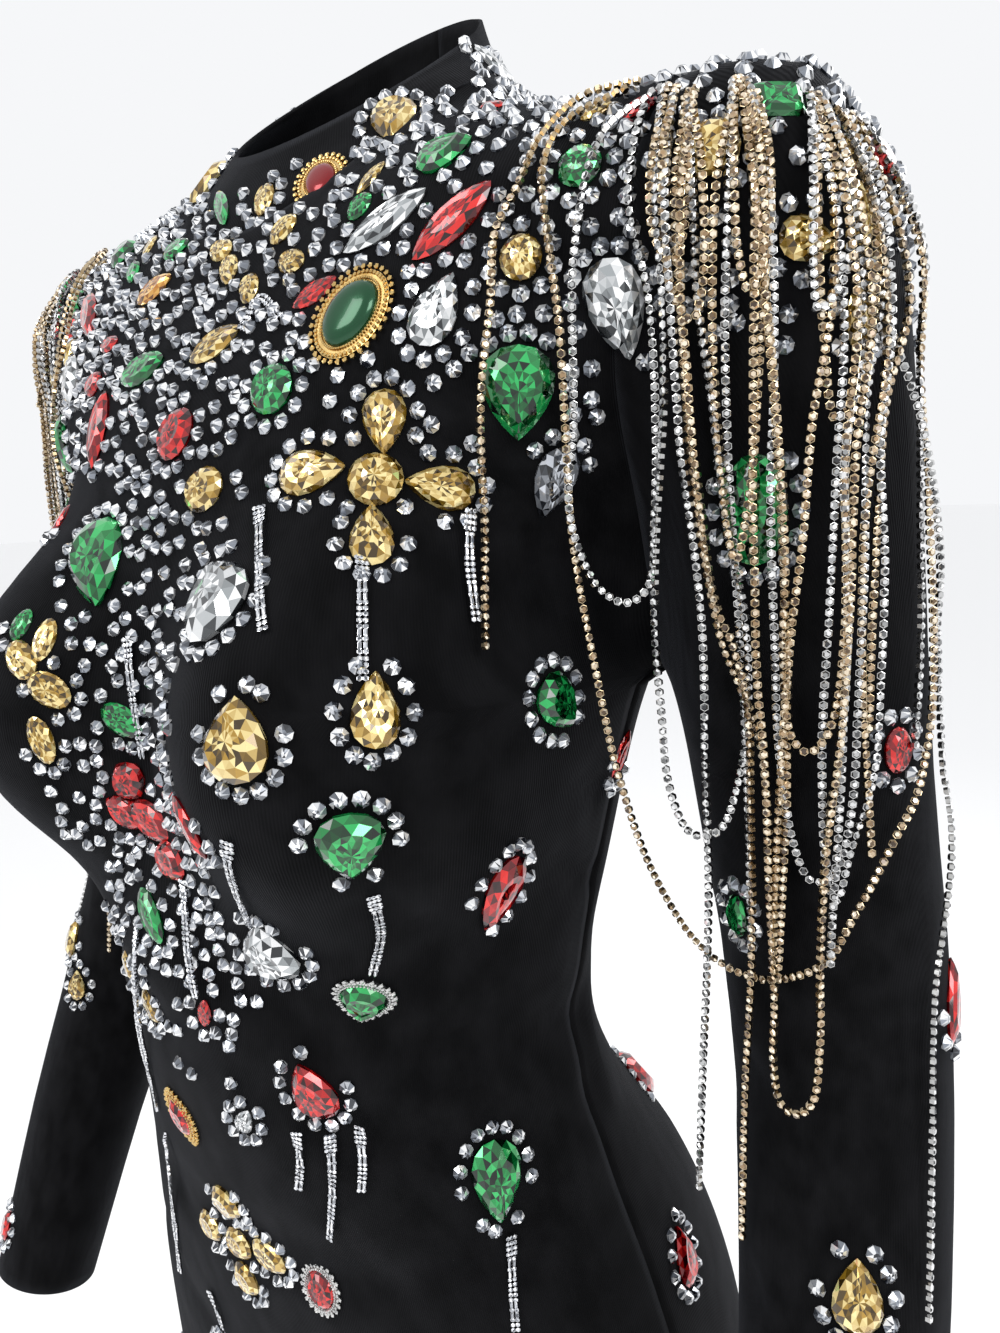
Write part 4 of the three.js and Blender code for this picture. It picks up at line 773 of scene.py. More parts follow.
def grid_piece(name, points, closed=False):
    """Mesh piece over a grid of points, with its cut laid flat in metres as the UV map"""
    rows, columns = points.shape[0] - 1, points.shape[1] - 1
    width = np.linalg.norm(np.diff(points, axis=1), axis=2).sum(1).max() * MM
    length = np.linalg.norm(np.diff(points, axis=0), axis=2).sum(0).max() * MM
    bm = bmesh.new()
    uv = bm.loops.layers.uv.new("cut")
    bmesh.ops.create_grid(bm, x_segments=columns, y_segments=rows, size=1, calc_uvs=True)
    for loop in (loop for face in bm.faces for loop in face.loops):
        loop[uv].uv = (loop[uv].uv[0] * width, loop[uv].uv[1] * length)
    for vert in bm.verts:
        column = round((vert.co.x + 1) / 2 * columns)
        row = round((1 - vert.co.y) / 2 * rows)
        vert.co = Vector(points[row, column]) * MM
    if closed:
        bmesh.ops.remove_doubles(bm, verts=bm.verts, dist=1e-5)
    bmesh.ops.recalc_face_normals(bm, faces=bm.faces)
    face = max(bm.faces, key=lambda f: abs(f.calc_center_median().x) + f.calc_center_median().z)
    if face.normal.dot(Vector(cloth_normal(np.array(face.calc_center_median()) / MM))) < 0:
        bmesh.ops.reverse_faces(bm, faces=bm.faces)
    for face in bm.faces:
        face.smooth = True
    area = sum(face.calc_area() for face in bm.faces)
    obj = piece_from(bm, name)
    return obj, (width, length), area


def piece_from(bm, name):
    """Object at the origin from a bmesh"""
    mesh = bpy.data.meshes.new(name)
    bm.to_mesh(mesh)
    bm.free()
    obj = bpy.data.objects.new(name, mesh)
    bpy.context.scene.collection.objects.link(obj)
    return obj


def seam_valleys(points, edges):
    """Sink the sewn edges of a piece a little into the cloth"""
    sunk = points.copy()
    for edge in edges:
        sunk[edge] -= cloth_normal(points[edge]) * SEAM_DEPTH
    return sunk


def velvet():
    """Stretch velvet, knitted with a cut pile: matt black, soft light along its edges, a fine
    upright rib and patches where the pile lies another way, painted lighter as painted sheen"""
    cloth = bpy.context.scene.dress_cloth
    material, tree, shader = new_material("ribbed stretch velvet", {
        "Roughness": 0.88, "Sheen Weight": cloth.sheen, "Sheen Roughness": 0.38,
        "Sheen Tint": srgb("#7d818c"), "Specular IOR Level": 0.1})
    cut = add_node(tree, "ShaderNodeUVMap", {"uv_map": "cut"})
    # the rib is 0.9 mm in the cloth, drawn at 1.3 mm so that it shows
    rib = add_node(tree, "ShaderNodeTexWave", {"Scale": WAVE_PITCH / 0.0013, "Distortion": 0.6,
                                               "Detail": 1.0}, {"Vector": (cut, "UV")})
    pile_patch_painted_sheen = add_node(tree, "ShaderNodeTexNoise", {"Scale": 1 / 0.022, "Detail": 4.0},
                   {"Vector": (cut, "UV")})
    pile = add_node(tree, "ShaderNodeTexNoise", {"Scale": 1 / 0.0011, "Detail": 2.0},
                    {"Vector": (cut, "UV")})
    # partly painted light: random patches where the pile lies another way, the lighter ones painted
    # as sheen from flattened pile
    tone = add_node(tree, "ShaderNodeValToRGB", links={"Fac": (pile_patch_painted_sheen, "Fac")})
    tone.color_ramp.elements[0].position = 0.35
    tone.color_ramp.elements[0].color = cloth.dark
    tone.color_ramp.elements[1].position = 0.7
    tone.color_ramp.elements[1].color = cloth.light
    height = add_node(tree, "ShaderNodeMix", {"Factor": 0.45},
                      {"A": (rib, "Fac"), "B": (pile, "Fac")})
    slack = add_node(tree, "ShaderNodeTexNoise", {"Scale": 1 / 0.045, "Detail": 2.0},
                     {"Vector": (cut, "UV")})
    soft = add_node(tree, "ShaderNodeBump", {"Strength": 0.6, "Distance": 0.003},
                    {"Height": (slack, "Fac")})
    bump = add_node(tree, "ShaderNodeBump", {"Strength": 0.5, "Distance": 0.0004},
                    {"Height": (height, "Result"), "Normal": (soft, "Normal")})
    tree.links.new(tone.outputs["Color"], shader.inputs["Base Color"])
    tree.links.new(bump.outputs["Normal"], shader.inputs["Normal"])
    return material


def finish_cloth(obj, material, node):
    """Give a cut piece its wall, material and place in the frame"""
    obj.data.materials.append(material)
    wall = obj.modifiers.new("wall", "SOLIDIFY")
    wall.thickness = bpy.context.scene.dress_cloth.thickness
    wall.offset = -1
    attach(obj, BODY)
    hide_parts(node)


class ClothSettings(bpy.types.PropertyGroup):
    """Sizes and colours of the velvet"""
    thickness: FloatProperty(name="Thickness", description="Thickness of the velvet with its pile",
                             default=1.6 * MM, min=0.5 * MM, max=4 * MM, subtype="DISTANCE")
    sheen: FloatProperty(name="Sheen", description="How strongly the pile's edges catch light",
                         default=0.17, min=0, max=1, subtype="FACTOR")
    # the dark colour is the velvet's own black; the light colour is painted sheen, where patches of
    # flattened pile catch light
    dark: FloatVectorProperty(name="Dark", description="Velvet where its pile stands up",
                              size=4, default=srgb("#010102"), subtype="COLOR")
    light: FloatVectorProperty(name="Light", description="Velvet where its pile is brushed flat",
                               size=4, default=srgb("#0d0d0f"), subtype="COLOR")


CLOTH_NAMES = ("velvet_front", "velvet_back_left", "velvet_back_right", "velvet_sleeve_left",
               "velvet_sleeve_right", "velvet_collar")


class DRESS_OT_cloth(bpy.types.Operator):
    """Cut the front, backs, sleeves and collar on the worn form"""
    bl_idname = "dress.cloth"
    bl_label = "Velvet pieces"

    def execute(self, context):
        material = velvet()
        every = slice(None)
        edges = [(0, every), (every, 0), (every, -1)]
        front = seam_valleys(creased(front_grid()), edges)
        back = back_grid()
        sleeve = sleeve_grid()
        grids = {
            "front": (front, False),
            "back_left": (seam_valleys(creased(back), edges), False),
            "back_right": (seam_valleys(creased(mirror(back)), edges), False),
            "sleeve_left": (seam_valleys(creased(sleeve), edges[:1]), True),
            "sleeve_right": (seam_valleys(creased(mirror(sleeve)), edges[:1]), True),
            "collar": (collar_grid(), False),
        }
        for node, (points, closed) in grids.items():
            obj, size, area = grid_piece(f"velvet_{node}", points, closed)
            finish_cloth(obj, material, node)
        return {"FINISHED"}


def cloth_tree():
    """The cloth's outer faces, to look up points on them"""
    points, faces = [], []
    for name in CLOTH_NAMES:
        mesh = bpy.data.objects[name].data
        first = len(points)
        points += [vert.co.copy() for vert in mesh.vertices]
        faces += [[first + i for i in face.vertices] for face in mesh.polygons]
    return BVHTree.FromPolygons(points, faces)


# ---- looking at the cloth through the picture


def eye_axes():
    """Eye point, and its directions ahead, right and up"""
    azimuth = math.radians(EYE_AZIMUTH)
    at = Vector((EYE_DISTANCE * math.sin(azimuth), -EYE_DISTANCE * math.cos(azimuth), EYE_Z))
    ahead = Vector((-math.sin(azimuth), math.cos(azimuth), 0))
    right = Vector((math.cos(azimuth), math.sin(azimuth), 0))
    up = Vector((0, 0, 1))

    def turned(a, b, degrees):
        c, s = math.cos(math.radians(degrees)), math.sin(math.radians(degrees))
        return a * c + b * s, b * c - a * s
    ahead, right = turned(ahead, right, EYE_YAW)
    ahead, up = turned(ahead, up, EYE_PITCH)
    right, up = turned(right, up, EYE_ROLL)
    return at * MM, ahead, right, up


EYE, AHEAD, RIGHT, UP = eye_axes()


def sight(px, py):
    """Direction from the eye through a pixel"""
    return (AHEAD + RIGHT * ((px - MIDDLE_X) / FOCAL) + UP * ((MIDDLE_Y - py) / FOCAL)).normalized()


def flip(v):
    """The same vector on the wearer's other side"""
    return Vector((-v.x, v.y, v.z))


def axes_at(at, x, y, z):
    """Matrix with these axes at a point"""
    return Matrix((*zip(x, y, z, at), (0, 0, 0, 1)))


def upright_frame(at, normal, up, right, turn, view=None):
    """Axes on the cloth: Y along a shape that looks turned clockwise from upright along the
    direction of view, Z outwards"""
    angle = math.radians(turn)
    way = up * math.cos(angle) + right * math.sin(angle)
    view = view or normal
    facing = view.dot(normal)
    if abs(facing) < LEAST_FACING:
        view, facing = normal, 1
    y = (way - view * (way.dot(normal) / facing)).normalized()
    return axes_at(at, y.cross(normal), y, normal)


def stone_places(tree):
    """Every large stone: cut, glass, its axes on the cloth, long, wide, share ringed and pixel"""
    places = []

    def add(start, way, up, right, turn, facts, pixel=None):
        hit, normal, _, _ = tree.ray_cast(start, way)
        if hit is None:
            return
        if normal.dot(way) > 0:
            normal = -normal
        cut, glass, long, wide, ring = facts
        axes = upright_frame(hit, normal, up, right, turn, way)
        places.append((cut, glass, axes, long, wide, ring, pixel))
    for cut, glass, px, py, long, wide, turn, ring, both in STONES:
        facts = (cut, glass, long, wide, ring)
        add(EYE, sight(px, py), UP, RIGHT, turn, facts, (px, py))
        if both:
            add(flip(EYE), flip(sight(px, py)), flip(UP), flip(RIGHT), turn, facts)
    for side, cut, glass, x, z, long, wide, turn, ring in HIDDEN_STONES:
        for hand in (1, -1):
            start = Vector((hand * x * MM, side * DROP_FROM, z * MM))
            right = Vector((-side * hand, 0, 0))
            add(start, Vector((0, -side, 0)), Vector((0, 0, 1)), right, turn,
                (cut, glass, long, wide, ring))
    return places


# ---- small shapes and their copies


# Powers that taper a navette and a pear and square a baguette, and the pear's width for that
NAVETTE_TAPER, PEAR_TAPER, SQUARED, PEAR_WIDTH = 0.45, 0.8, 0.35, 1.16


def outline(cut, t):
    """Point of a cut's outline, one unit half long and half wide; a pear's point is at +Y"""
    x, y = math.sin(t), math.cos(t)
    if cut == "navette":
        x *= abs(math.sin(t)) ** NAVETTE_TAPER
    if cut == "pear":
        x *= abs(math.sin(t / 2)) ** PEAR_TAPER * PEAR_WIDTH
    if cut == "baguette":
        x, y = (math.copysign(abs(v) ** SQUARED, v) for v in (x, y))
    return x, y


# Rings of a cut stone from the cloth up: share of its outline, share of its height, half steps
LARGE_RINGS = ((0.96, -0.06, 0), (1.0, 0.22, 0), (0.86, 0.58, 1), (0.64, 0.92, 0),
               (0.44, 0.88, 1), (0.24, 0.94, 0))
DOME_RINGS = ((0.96, -0.06, 0), (1.0, 0.2, 0), (0.95, 0.5, 0), (0.82, 0.76, 0), (0.6, 0.92, 0),
              (0.32, 0.99, 0))
PLATE_RINGS = ((1.0, -0.5, 0), (1.0, 0.6, 0), (0.9, 1.0, 0))
SMALL_RINGS = ((0.94, -0.1, 0), (1.0, 0.28, 0), (0.42, 0.92, 0))


def stone_shape(cut, segments, rings, table_rise):
    """Faceted stone on the cloth, its table's facets meeting in the middle"""
    bm = bmesh.new()
    circle = bmesh.ops.create_circle(bm, cap_ends=False, radius=1, segments=segments)
    ring = sorted(circle["verts"], key=lambda v: math.atan2(v.co.x, v.co.y) % math.tau)
    first = ring
    for number, (share, height, half) in enumerate(rings):
        if number:
            edges = [e for e in bm.edges if e.verts[0] in ring and e.verts[1] in ring]
            made = bmesh.ops.extrude_edge_only(bm, edges=edges)["geom"]
            upper = [v for v in made if isinstance(v, bmesh.types.BMVert)]
            ring = [min(upper, key=lambda v, low=low: (v.co - low.co).length) for low in ring]
        for k, vert in enumerate(ring):
            x, y = outline(cut, math.tau * (k + half / 2) / segments)
            vert.co = (x * share, y * share, height)
    table = bmesh.ops.contextual_create(bm, geom=ring)["faces"]
    bmesh.ops.contextual_create(bm, geom=first)
    middle = bmesh.ops.poke(bm, faces=table)["verts"][0]
    middle.co.z += table_rise
    bmesh.ops.recalc_face_normals(bm, faces=bm.faces)
    bmesh.ops.triangulate(bm, faces=[f for f in bm.faces if len(f.verts) == 4])
    return arrays_of(bm)


def arrays_of(bm):
    """Points, faces and material numbers of a small shape. Bmesh gives cut faces in another order
    each run, so they are sorted here, and each starts at its first point."""
    bm.verts.index_update()
    points = np.array([vert.co[:] for vert in bm.verts])
    faces, slots = [], []
    for face in sorted(bm.faces, key=lambda f: sorted(vert.index for vert in f.verts)):
        corners = [vert.index for vert in face.verts]
        first = corners.index(min(corners))
        faces.append(corners[first:] + corners[:first])
        slots.append(face.material_index)
    bm.free()
    return points, faces, slots


def sewn(name, shapes, materials, seed=3, smooth=False):
    """One piece of many copies of small shapes, each with its matrix; facet is a value from 0
    to 1 for each face, by which glass is painted light or dark as painted shade and painted
    reflection, and a smooth dome has one value"""
    points, faces, slots = [], [], []
    first = 0
    for (shape_points, shape_faces, shape_slots), matrix in shapes:
        m = np.array(matrix)
        points.append(shape_points @ m[:3, :3].T + m[:3, 3])
        faces += [[first + i for i in face] for face in shape_faces]
        slots += shape_slots
        first += len(shape_points)
    mesh = bpy.data.meshes.new(name)
    mesh.from_pydata(np.concatenate(points).tolist(), [], faces)
    mesh.polygons.foreach_set("material_index", slots)
    # painted light: a random value for each face, by which the glass shaders paint it darker or
    # brighter
    values = np.random.default_rng(seed).random(len(faces))
    if smooth:
        values[:] = 0.5
        mesh.polygons.foreach_set("use_smooth", [True] * len(faces))
    mesh.attributes.new("facet", "FLOAT", "FACE").data.foreach_set("value", values)
    for material in materials:
        mesh.materials.append(material)
    obj = bpy.data.objects.new(name, mesh)
    bpy.context.scene.collection.objects.link(obj)
    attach(obj, BODY)
    return obj


def glass_material(name, colours, roughness=0.07, coat=1.0):
    """Cut glass over foil, with painted light: each facet's colour is painted dark, middle or
    bright at random, as painted shade and painted reflection of the light its foil throws back
    """
    material, tree, shader = new_material(name, {
        "Metallic": 0.55, "Roughness": roughness, "Coat Weight": coat, "Coat Roughness": 0.03})
    facet = add_node(tree, "ShaderNodeAttribute", {"attribute_name": "facet"})
    # painted light: the facet value picks a dark, middle or bright colour, painted shade and
    # painted highlight on the glass
    painted_facet_light = add_node(tree, "ShaderNodeValToRGB", links={"Fac": (facet, "Fac")})
    dark, middle, bright = (srgb(code) for code in colours)
    painted_facet_light.color_ramp.elements[0].position = 0.12
    painted_facet_light.color_ramp.elements[0].color = dark
    painted_facet_light.color_ramp.elements[1].position = 0.92
    painted_facet_light.color_ramp.elements[1].color = bright
    painted_facet_light.color_ramp.elements.new(0.5).color = middle
    tree.links.new(painted_facet_light.outputs["Color"], shader.inputs["Base Color"])
    return material


def metal_material(name, colour, roughness, wear):
    """Plated brass setting: bright, with fine uneven polish"""
    material, tree, shader = new_material(name, {"Metallic": 1.0})
    place = add_node(tree, "ShaderNodeTexCoord")
    polish = add_node(tree, "ShaderNodeTexNoise", {"Scale": 1 / 0.004, "Detail": 3.0},
                      {"Vector": (place, "Object")})
    tone = add_node(tree, "ShaderNodeValToRGB", links={"Fac": (polish, "Fac")})
    tone.color_ramp.elements[0].color = srgb(wear)
    tone.color_ramp.elements[1].color = srgb(colour)
    rough = add_node(tree, "ShaderNodeMapRange", {"To Min": roughness * 0.7,
                                                  "To Max": roughness * 1.4},
                     {"Value": (polish, "Fac")})
    tree.links.new(tone.outputs["Color"], shader.inputs["Base Color"])
    tree.links.new(rough.outputs["Result"], shader.inputs["Roughness"])
    return material


class StoneSettings(bpy.types.PropertyGroup):
    """Sizes of the sewn stones"""
    small: FloatProperty(name="Small stone", description="Width of the small conical stones",
                         default=6 * MM, min=2 * MM, max=12 * MM, subtype="DISTANCE")
    small_height: FloatProperty(name="Small stone height", description="Height of those stones",
                                default=2.9 * MM, min=1 * MM, max=6 * MM, subtype="DISTANCE")
    rise: FloatProperty(name="Rise", description="Height of a large stone, by its width",
                        default=0.27, min=0.1, max=0.6, subtype="FACTOR")
    most_rise: FloatProperty(name="Most rise", description="The most that a large stone rises",
                             default=6.4 * MM, min=2 * MM, max=10 * MM, subtype="DISTANCE")


class DRESS_OT_large_stones(bpy.types.Operator):
    """Sew the large coloured stones on the velvet"""
    bl_idname = "dress.large_stones"
    bl_label = "Large stones"

    def execute(self, context):
        stones = context.scene.dress_stones
        by_glass = {glass: [] for glass in GLASS}
        domes = {"red": [], "green": []}
        smooth = [(px, py) for px, py, _, _, dome in FRAMED if dome]
        shapes = {cut: stone_shape(cut, 16, LARGE_RINGS, 0.03)
                  for cut in ("oval", "round", "pear", "navette", "baguette")}
        dome = stone_shape("oval", 24, DOME_RINGS, 0.01)
        for cut, glass, place, long, wide, _, pixel in stone_places(cloth_tree()):
            rise = min(wide * stones.rise * MM, stones.most_rise)
            size = Matrix.Diagonal((wide / 2 * MM, long / 2 * MM, rise, 1))
            if pixel in smooth:
                domes[glass].append((dome, place @ size))
            else:
                by_glass[glass].append((shapes[cut], place @ size))
        # each glass's material paints its facets dark or bright at random, as painted shade and
        # painted reflection
        for seed, (glass, copies) in enumerate(by_glass.items()):
            material = glass_material(f"{glass} foiled glass", GLASS[glass])
            sewn(f"large_stones_{glass}", copies, [material], seed)
        # smooth domes are opaque glass, glossy and one deep colour through
        for glass, colour in (("red", "#7c0008"), ("green", "#014222")):
            material = glass_material(f"{glass} opaque glass dome", (colour,) * 3, 0.2, 0.45)
            sewn(f"dome_stone_{glass}", domes[glass], [material], smooth=True)
        return {"FINISHED"}


# A ring of small stones in millimetres: how far off the large one's edge, and its spacing
RING_OFF, RING_PITCH = 4.1, 7.4
# Least distance between ringed and between strewn small stones, and area per try
RING_GAP, STREWN_GAP, STREWN_AREA = 5.4 * MM, 5.8 * MM, 1.3e-5
# Side of the cells that near stones are looked up in
CELL = 6.3 * MM
# Least distance from a large stone's edge, and from where it isn't worth a look, in millimetres
EDGE_CLEAR, EDGE_FAR = 2.6, 8
# How much narrower the ring round a pear is towards its point
PEAR_RING = 0.25
LEAST_SMALL_STONES = 500
# Strewn stones thin out between two depths below the neck: sleeves, backs, chest and bust. On
# the bust they also thin out sideways, and the collar's edge is bare.
SLEEVE_THINS, BACK_THINS, CHEST_THINS, BUST_THINS = (95, 150), (60, 130), (112, 176), (330, 420)
BUST_BAND, COLLAR_BARE = (22, 58), (8, 13)
# How thickly they are strewn: collar and sleeves, backs, bust
COLLAR_SHARE, SLEEVE_SHARE, BACK_SHARE, BUST_SHARE = 0.5, 0.5, 0.6, 0.55


def small_places(tree):
    """Small stones: rings round the large ones, then a dense scatter over chest, collar and
    shoulders that thins out lower down"""
    large = stone_places(tree)
    taken = {}

    def cell(p):
        return tuple(int(math.floor(c / CELL)) for c in p)

    def free(p, gap):
        key = cell(p)
        near = (taken.get((key[0] + i, key[1] + j, key[2] + k), ())
                for i in (-1, 0, 1) for j in (-1, 0, 1) for k in (-1, 0, 1))
        return all((p - q).length > gap for group in near for q in group)

    def take(p):
        taken.setdefault(cell(p), []).append(p)
    frames = {(px, py): stand * 2 for px, py, stand, _, _ in FRAMED}
    insides, centres = [], []
    for _, _, place, long, wide, _, pixel in large:
        border = frames.get(pixel, 0)
        insides.append((place.inverted(), long + border, wide + border))
        centres.append((place.translation, max(long, wide) + border))

    def covered(p):
        for (centre, reach), (inverse, long, wide) in zip(centres, insides):
            if (p - centre).length > (reach / 2 + EDGE_FAR) * MM:
                continue
            q = inverse @ p
            if math.hypot(q.x / (wide / 2 + EDGE_CLEAR), q.y / (long / 2 + EDGE_CLEAR)) < MM:
                return True
        return False
    found = []
    rng = random.Random(11)

    def sew(at, gap):
        hit, normal, _, _ = tree.find_nearest(at)
        if covered(hit) or not free(hit, gap):
            return
        outwards = Vector(cloth_normal(np.array(hit) / MM))
        if normal.dot(outwards) < 0:
            normal = -normal
        take(hit)
        turn = rng.uniform(0, 360)
        found.append(upright_frame(hit, normal, Vector((0, 0.2, 1)).normalized(),
                                   Vector((1, 0.3, 0)), turn))
    for cut, _, place, long, wide, ring, _ in large:
        if ring <= 0:
            continue
        half_long, half_wide = long / 2 + RING_OFF, wide / 2 + RING_OFF
        around = math.pi * (3 * (half_long + half_wide)
                            - math.sqrt((3 * half_long + half_wide) * (half_long + 3 * half_wide)))
        count = max(round(around * ring / RING_PITCH), 3)
        for k in range(count):
            # what is left open lies at the stone's upper end
            x, y = outline("oval", math.tau * ((1 - ring) / 2 + ring * (k + 0.5) / count))
            if cut == "pear":
                x *= 1 - PEAR_RING * max(y, 0)
            sew(place @ Vector((x * half_wide * MM, y * half_long * MM, 0)), RING_GAP)
    for name in CLOTH_NAMES:
        mesh = bpy.data.objects[name].data
        areas = np.empty(len(mesh.polygons))
        mesh.polygons.foreach_get("area", areas)
        chosen = rng.choices(range(len(areas)), weights=areas, k=int(areas.sum() / STREWN_AREA))
        for index in chosen:
            face = mesh.polygons[index]
            corners = [mesh.vertices[i].co for i in face.vertices]
            u, v = rng.random(), rng.random()
            at = corners[0].lerp(corners[1], u).lerp(corners[3].lerp(corners[2], u), v)
            if rng.random() < stone_density(name, at):
                sew(at, STREWN_GAP)
    return found


def stone_density(name, at):
    """How thickly small stones are strewn there, from 0 to 1"""
    z = at.z / MM
    if name == "velvet_collar":
        below_edge = COLLAR_SLOPE * at.y / MM + COLLAR_EDGE_Z - z
        return float(smooth_step(below_edge, *COLLAR_BARE)) * COLLAR_SHARE
    if "sleeve" in name:
        return float(1 - smooth_step(-z, *SLEEVE_THINS)) * SLEEVE_SHARE
    if "back" in name:
        return float(1 - smooth_step(-z, *BACK_THINS)) * BACK_SHARE
    chest = float(1 - smooth_step(-z, *CHEST_THINS))
    middle = float(1 - smooth_step(abs(at.x) / MM, *BUST_BAND))
    bust = float(1 - smooth_step(-z, *BUST_THINS)) * middle
    return max(chest, bust * BUST_SHARE)


class DRESS_OT_small_stones(bpy.types.Operator):
    """Sew the small conical stones round the large ones and over the chest"""
    bl_idname = "dress.small_stones"
    bl_label = "Small stones"

    def execute(self, context):
        stones = context.scene.dress_stones
        shape = stone_shape("round", 8, SMALL_RINGS, 0.0)
        half = stones.small / 2
        size = Matrix.Diagonal((half, half, stones.small_height, 1))
        copies = [(shape, place @ size) for place in small_places(cloth_tree())]
        if len(copies) < LEAST_SMALL_STONES:
            raise RuntimeError("too few small stones found room")
        # grey jet-cut glass with painted light: dark sides as painted shade, and a few facets
        # painted white as painted glints
        material = glass_material("small silver glass", ("#20232a", "#8b919b", "#ffffff"), 0.05)
        sewn("small_stones", copies, [material], 5)
        return {"FINISHED"}


# A frame's plate: share of the border it covers, and its height in millimetres
PLATE_SHARE, PLATE_HEIGHT = 0.72, 1.1
# Rows of beads on it: share of the border, radius and height in millimetres, spacing by radius
BEAD_ROWS = ((0.12, 0.55, 1.7, 2.0), (0.55, 0.85, 1.2, 2.1), (0.95, 1.15, 0.8, 2.6))


class DRESS_OT_frames(bpy.types.Operator):
    """Set the framed stones in beaded metal"""
    bl_idname = "dress.frames"
    bl_label = "Beaded frames"

    def execute(self, context):
        metals = {"gold": metal_material("gilt brass", "#f7dc9a", 0.2, "#a87c35"),
                  "silver": metal_material("silver plated bead", "#f4f3ef", 0.18, "#8c8d90")}
        bead = bmesh.new()
        bmesh.ops.create_icosphere(bead, subdivisions=1, radius=1)
        bead = arrays_of(bead)
        stands = {(px, py): (stand, metal) for px, py, stand, metal, _ in FRAMED}
        sets = {metal: [] for metal in metals}
        for cut, _, place, long, wide, _, pixel in stone_places(cloth_tree()):
            if pixel not in stands:
                continue
            stand, metal = stands[pixel]
            plate = stone_shape(cut, 24, PLATE_RINGS, 0)
            border = stand * PLATE_SHARE
            half_wide, half_long = wide / 2 + border, long / 2 + border
            size = Matrix.Diagonal((half_wide * MM, half_long * MM, PLATE_HEIGHT * MM, 1))
            sets[metal].append((plate, place @ size))
            for part, radius, lift, spacing in BEAD_ROWS:
                half_wide, half_long = wide / 2 + stand * part, long / 2 + stand * part
                count = int(math.pi * (half_wide + half_long) / (radius * spacing))
                for k in range(count):
                    x, y = outline(cut, math.tau * k / count)
                    at = Vector((x * half_wide, y * half_long, lift)) * MM
                    size = Matrix.Diagonal((radius * MM, radius * MM, radius * 0.8 * MM, 1))
                    sets[metal].append((bead, place @ Matrix.Translation(at) @ size))
        for metal, copies in sets.items():
            sewn(f"{metal}_frames", copies, [metals[metal]])
        return {"FINISHED"}


# ---- cup chain


# In a cup one unit wide, what lies above this is its stone
CUP_STONE_Z = 0.27
# Height of a strand's sewn end, and what it keeps to cloth at its end and further on
ROOT_LIFT, ROOT_CLEAR, CHAIN_CLEAR = 3.4, 2.4 * MM, 3.2 * MM
# How much of its lift a hanging point keeps from cloth behind it
HANGING_CLEAR = 1.3
# How steeply a strand leaves the cloth at its root, and how much further its end starts
ROOT_SLOPE, END_START = 0.6, 1.0 * MM
# Points of the fine curve for each point of a route
CURVE_STEPS = 60
# How far each cup turns on from the one before, in radians
WANDER = 0.09


def cup_shape():
    """One cup of chain, one unit wide: a metal cup (slot 0) that holds a stone (slot 1)"""
    bm = bmesh.new()
    bmesh.ops.create_cone(bm, cap_ends=True, segments=6, radius1=0.42, radius2=0.5, depth=0.5)
    top = max(bm.faces, key=lambda f: f.calc_center_median().z)
    bmesh.ops.inset_region(bm, faces=[top], thickness=0.08, depth=0.02)
    bmesh.ops.extrude_discrete_faces(bm, faces=[top])
    bmesh.ops.remove_doubles(bm, verts=bm.verts, dist=1e-6)
    top = max(bm.faces, key=lambda f: f.calc_center_median().z + len(f.verts) * 1e-3)
    bmesh.ops.inset_region(bm, faces=[top], thickness=0.16, depth=0.16)
    for face in bm.faces:
        face.material_index = int(face.calc_center_median().z > CUP_STONE_Z)
    return arrays_of(bm)


def strand_route(tree, lift, laid, back, points):
    """Points of a strand: on the cloth at its ends, and hanging plumb in between"""
    last = len(points) - 1
    level = Vector((AHEAD.x, AHEAD.y, 0)).normalized()
    route = []
    hits = []
    for index, (px, py) in enumerate(points):
        hit, normal, _, _ = tree.ray_cast(EYE, sight(px, py))
        hits.append(hit)
        rooted = index == 0 or (back and index == last)
        height = (ROOT_LIFT if rooted else lift) * MM
        route.append(hit + normal * height if hit else None)
    on_cloth = [i for i in range(last + 1) if i < laid or i > last - back]
    known = [i for i in on_cloth if route[i] is not None]
    if not known:
        raise RuntimeError("a strand has no point on the cloth")
    reach = {i: (route[i] - EYE).dot(level) for i in known}
    for index, (px, py) in enumerate(points):
        if index in known:
            continue
        before = [reach[i] for i in known if i < index]
        after = [reach[i] for i in known if i > index]
        near = before[-1] if before else after[0]
        far = after[0] if after else near
        part = (index - laid + 1) / max(last - back - laid + 2, 1) if after and before else 0
        way = sight(px, py)
        plumb = (near + (far - near) * min(max(part, 0), 1)) / way.dot(level)
        hit = hits[index]
        most = (hit - EYE).length - lift * HANGING_CLEAR * MM if hit else math.inf
        route[index] = EYE + way * min(plumb, most)
    return route


def smooth_line(route, pace):
    """Points at an even pace along a smooth curve through a route"""
    knots = np.array([p[:] for p in route])
    chord = np.sqrt(np.linalg.norm(np.diff(knots, axis=0), axis=1))
    at = np.concatenate([[0], np.cumsum(chord)])
    fine = table_curve(knots, at)(np.linspace(0, at[-1], CURVE_STEPS * len(route)))
    runs = run_along(fine)
    count = max(int(runs[-1] / pace), 2)
    return points_along(fine, runs, np.arange(count) * pace)


def clear_of_cloth(line, least, root):
    """Hold a line off the cloth, by less near its root"""
    away = np.linalg.norm(line - line[0], axis=1)
    back = np.linalg.norm(line - line[-1], axis=1)
    for _ in range(3):
        gap = cloth_distance(line / MM) * MM
        wanted = np.minimum(least, root + ROOT_SLOPE * np.minimum(away, back + END_START))
        short = np.maximum(wanted - gap, 0)
        line = line + cloth_normal(line / MM) * short[:, None]
    return line


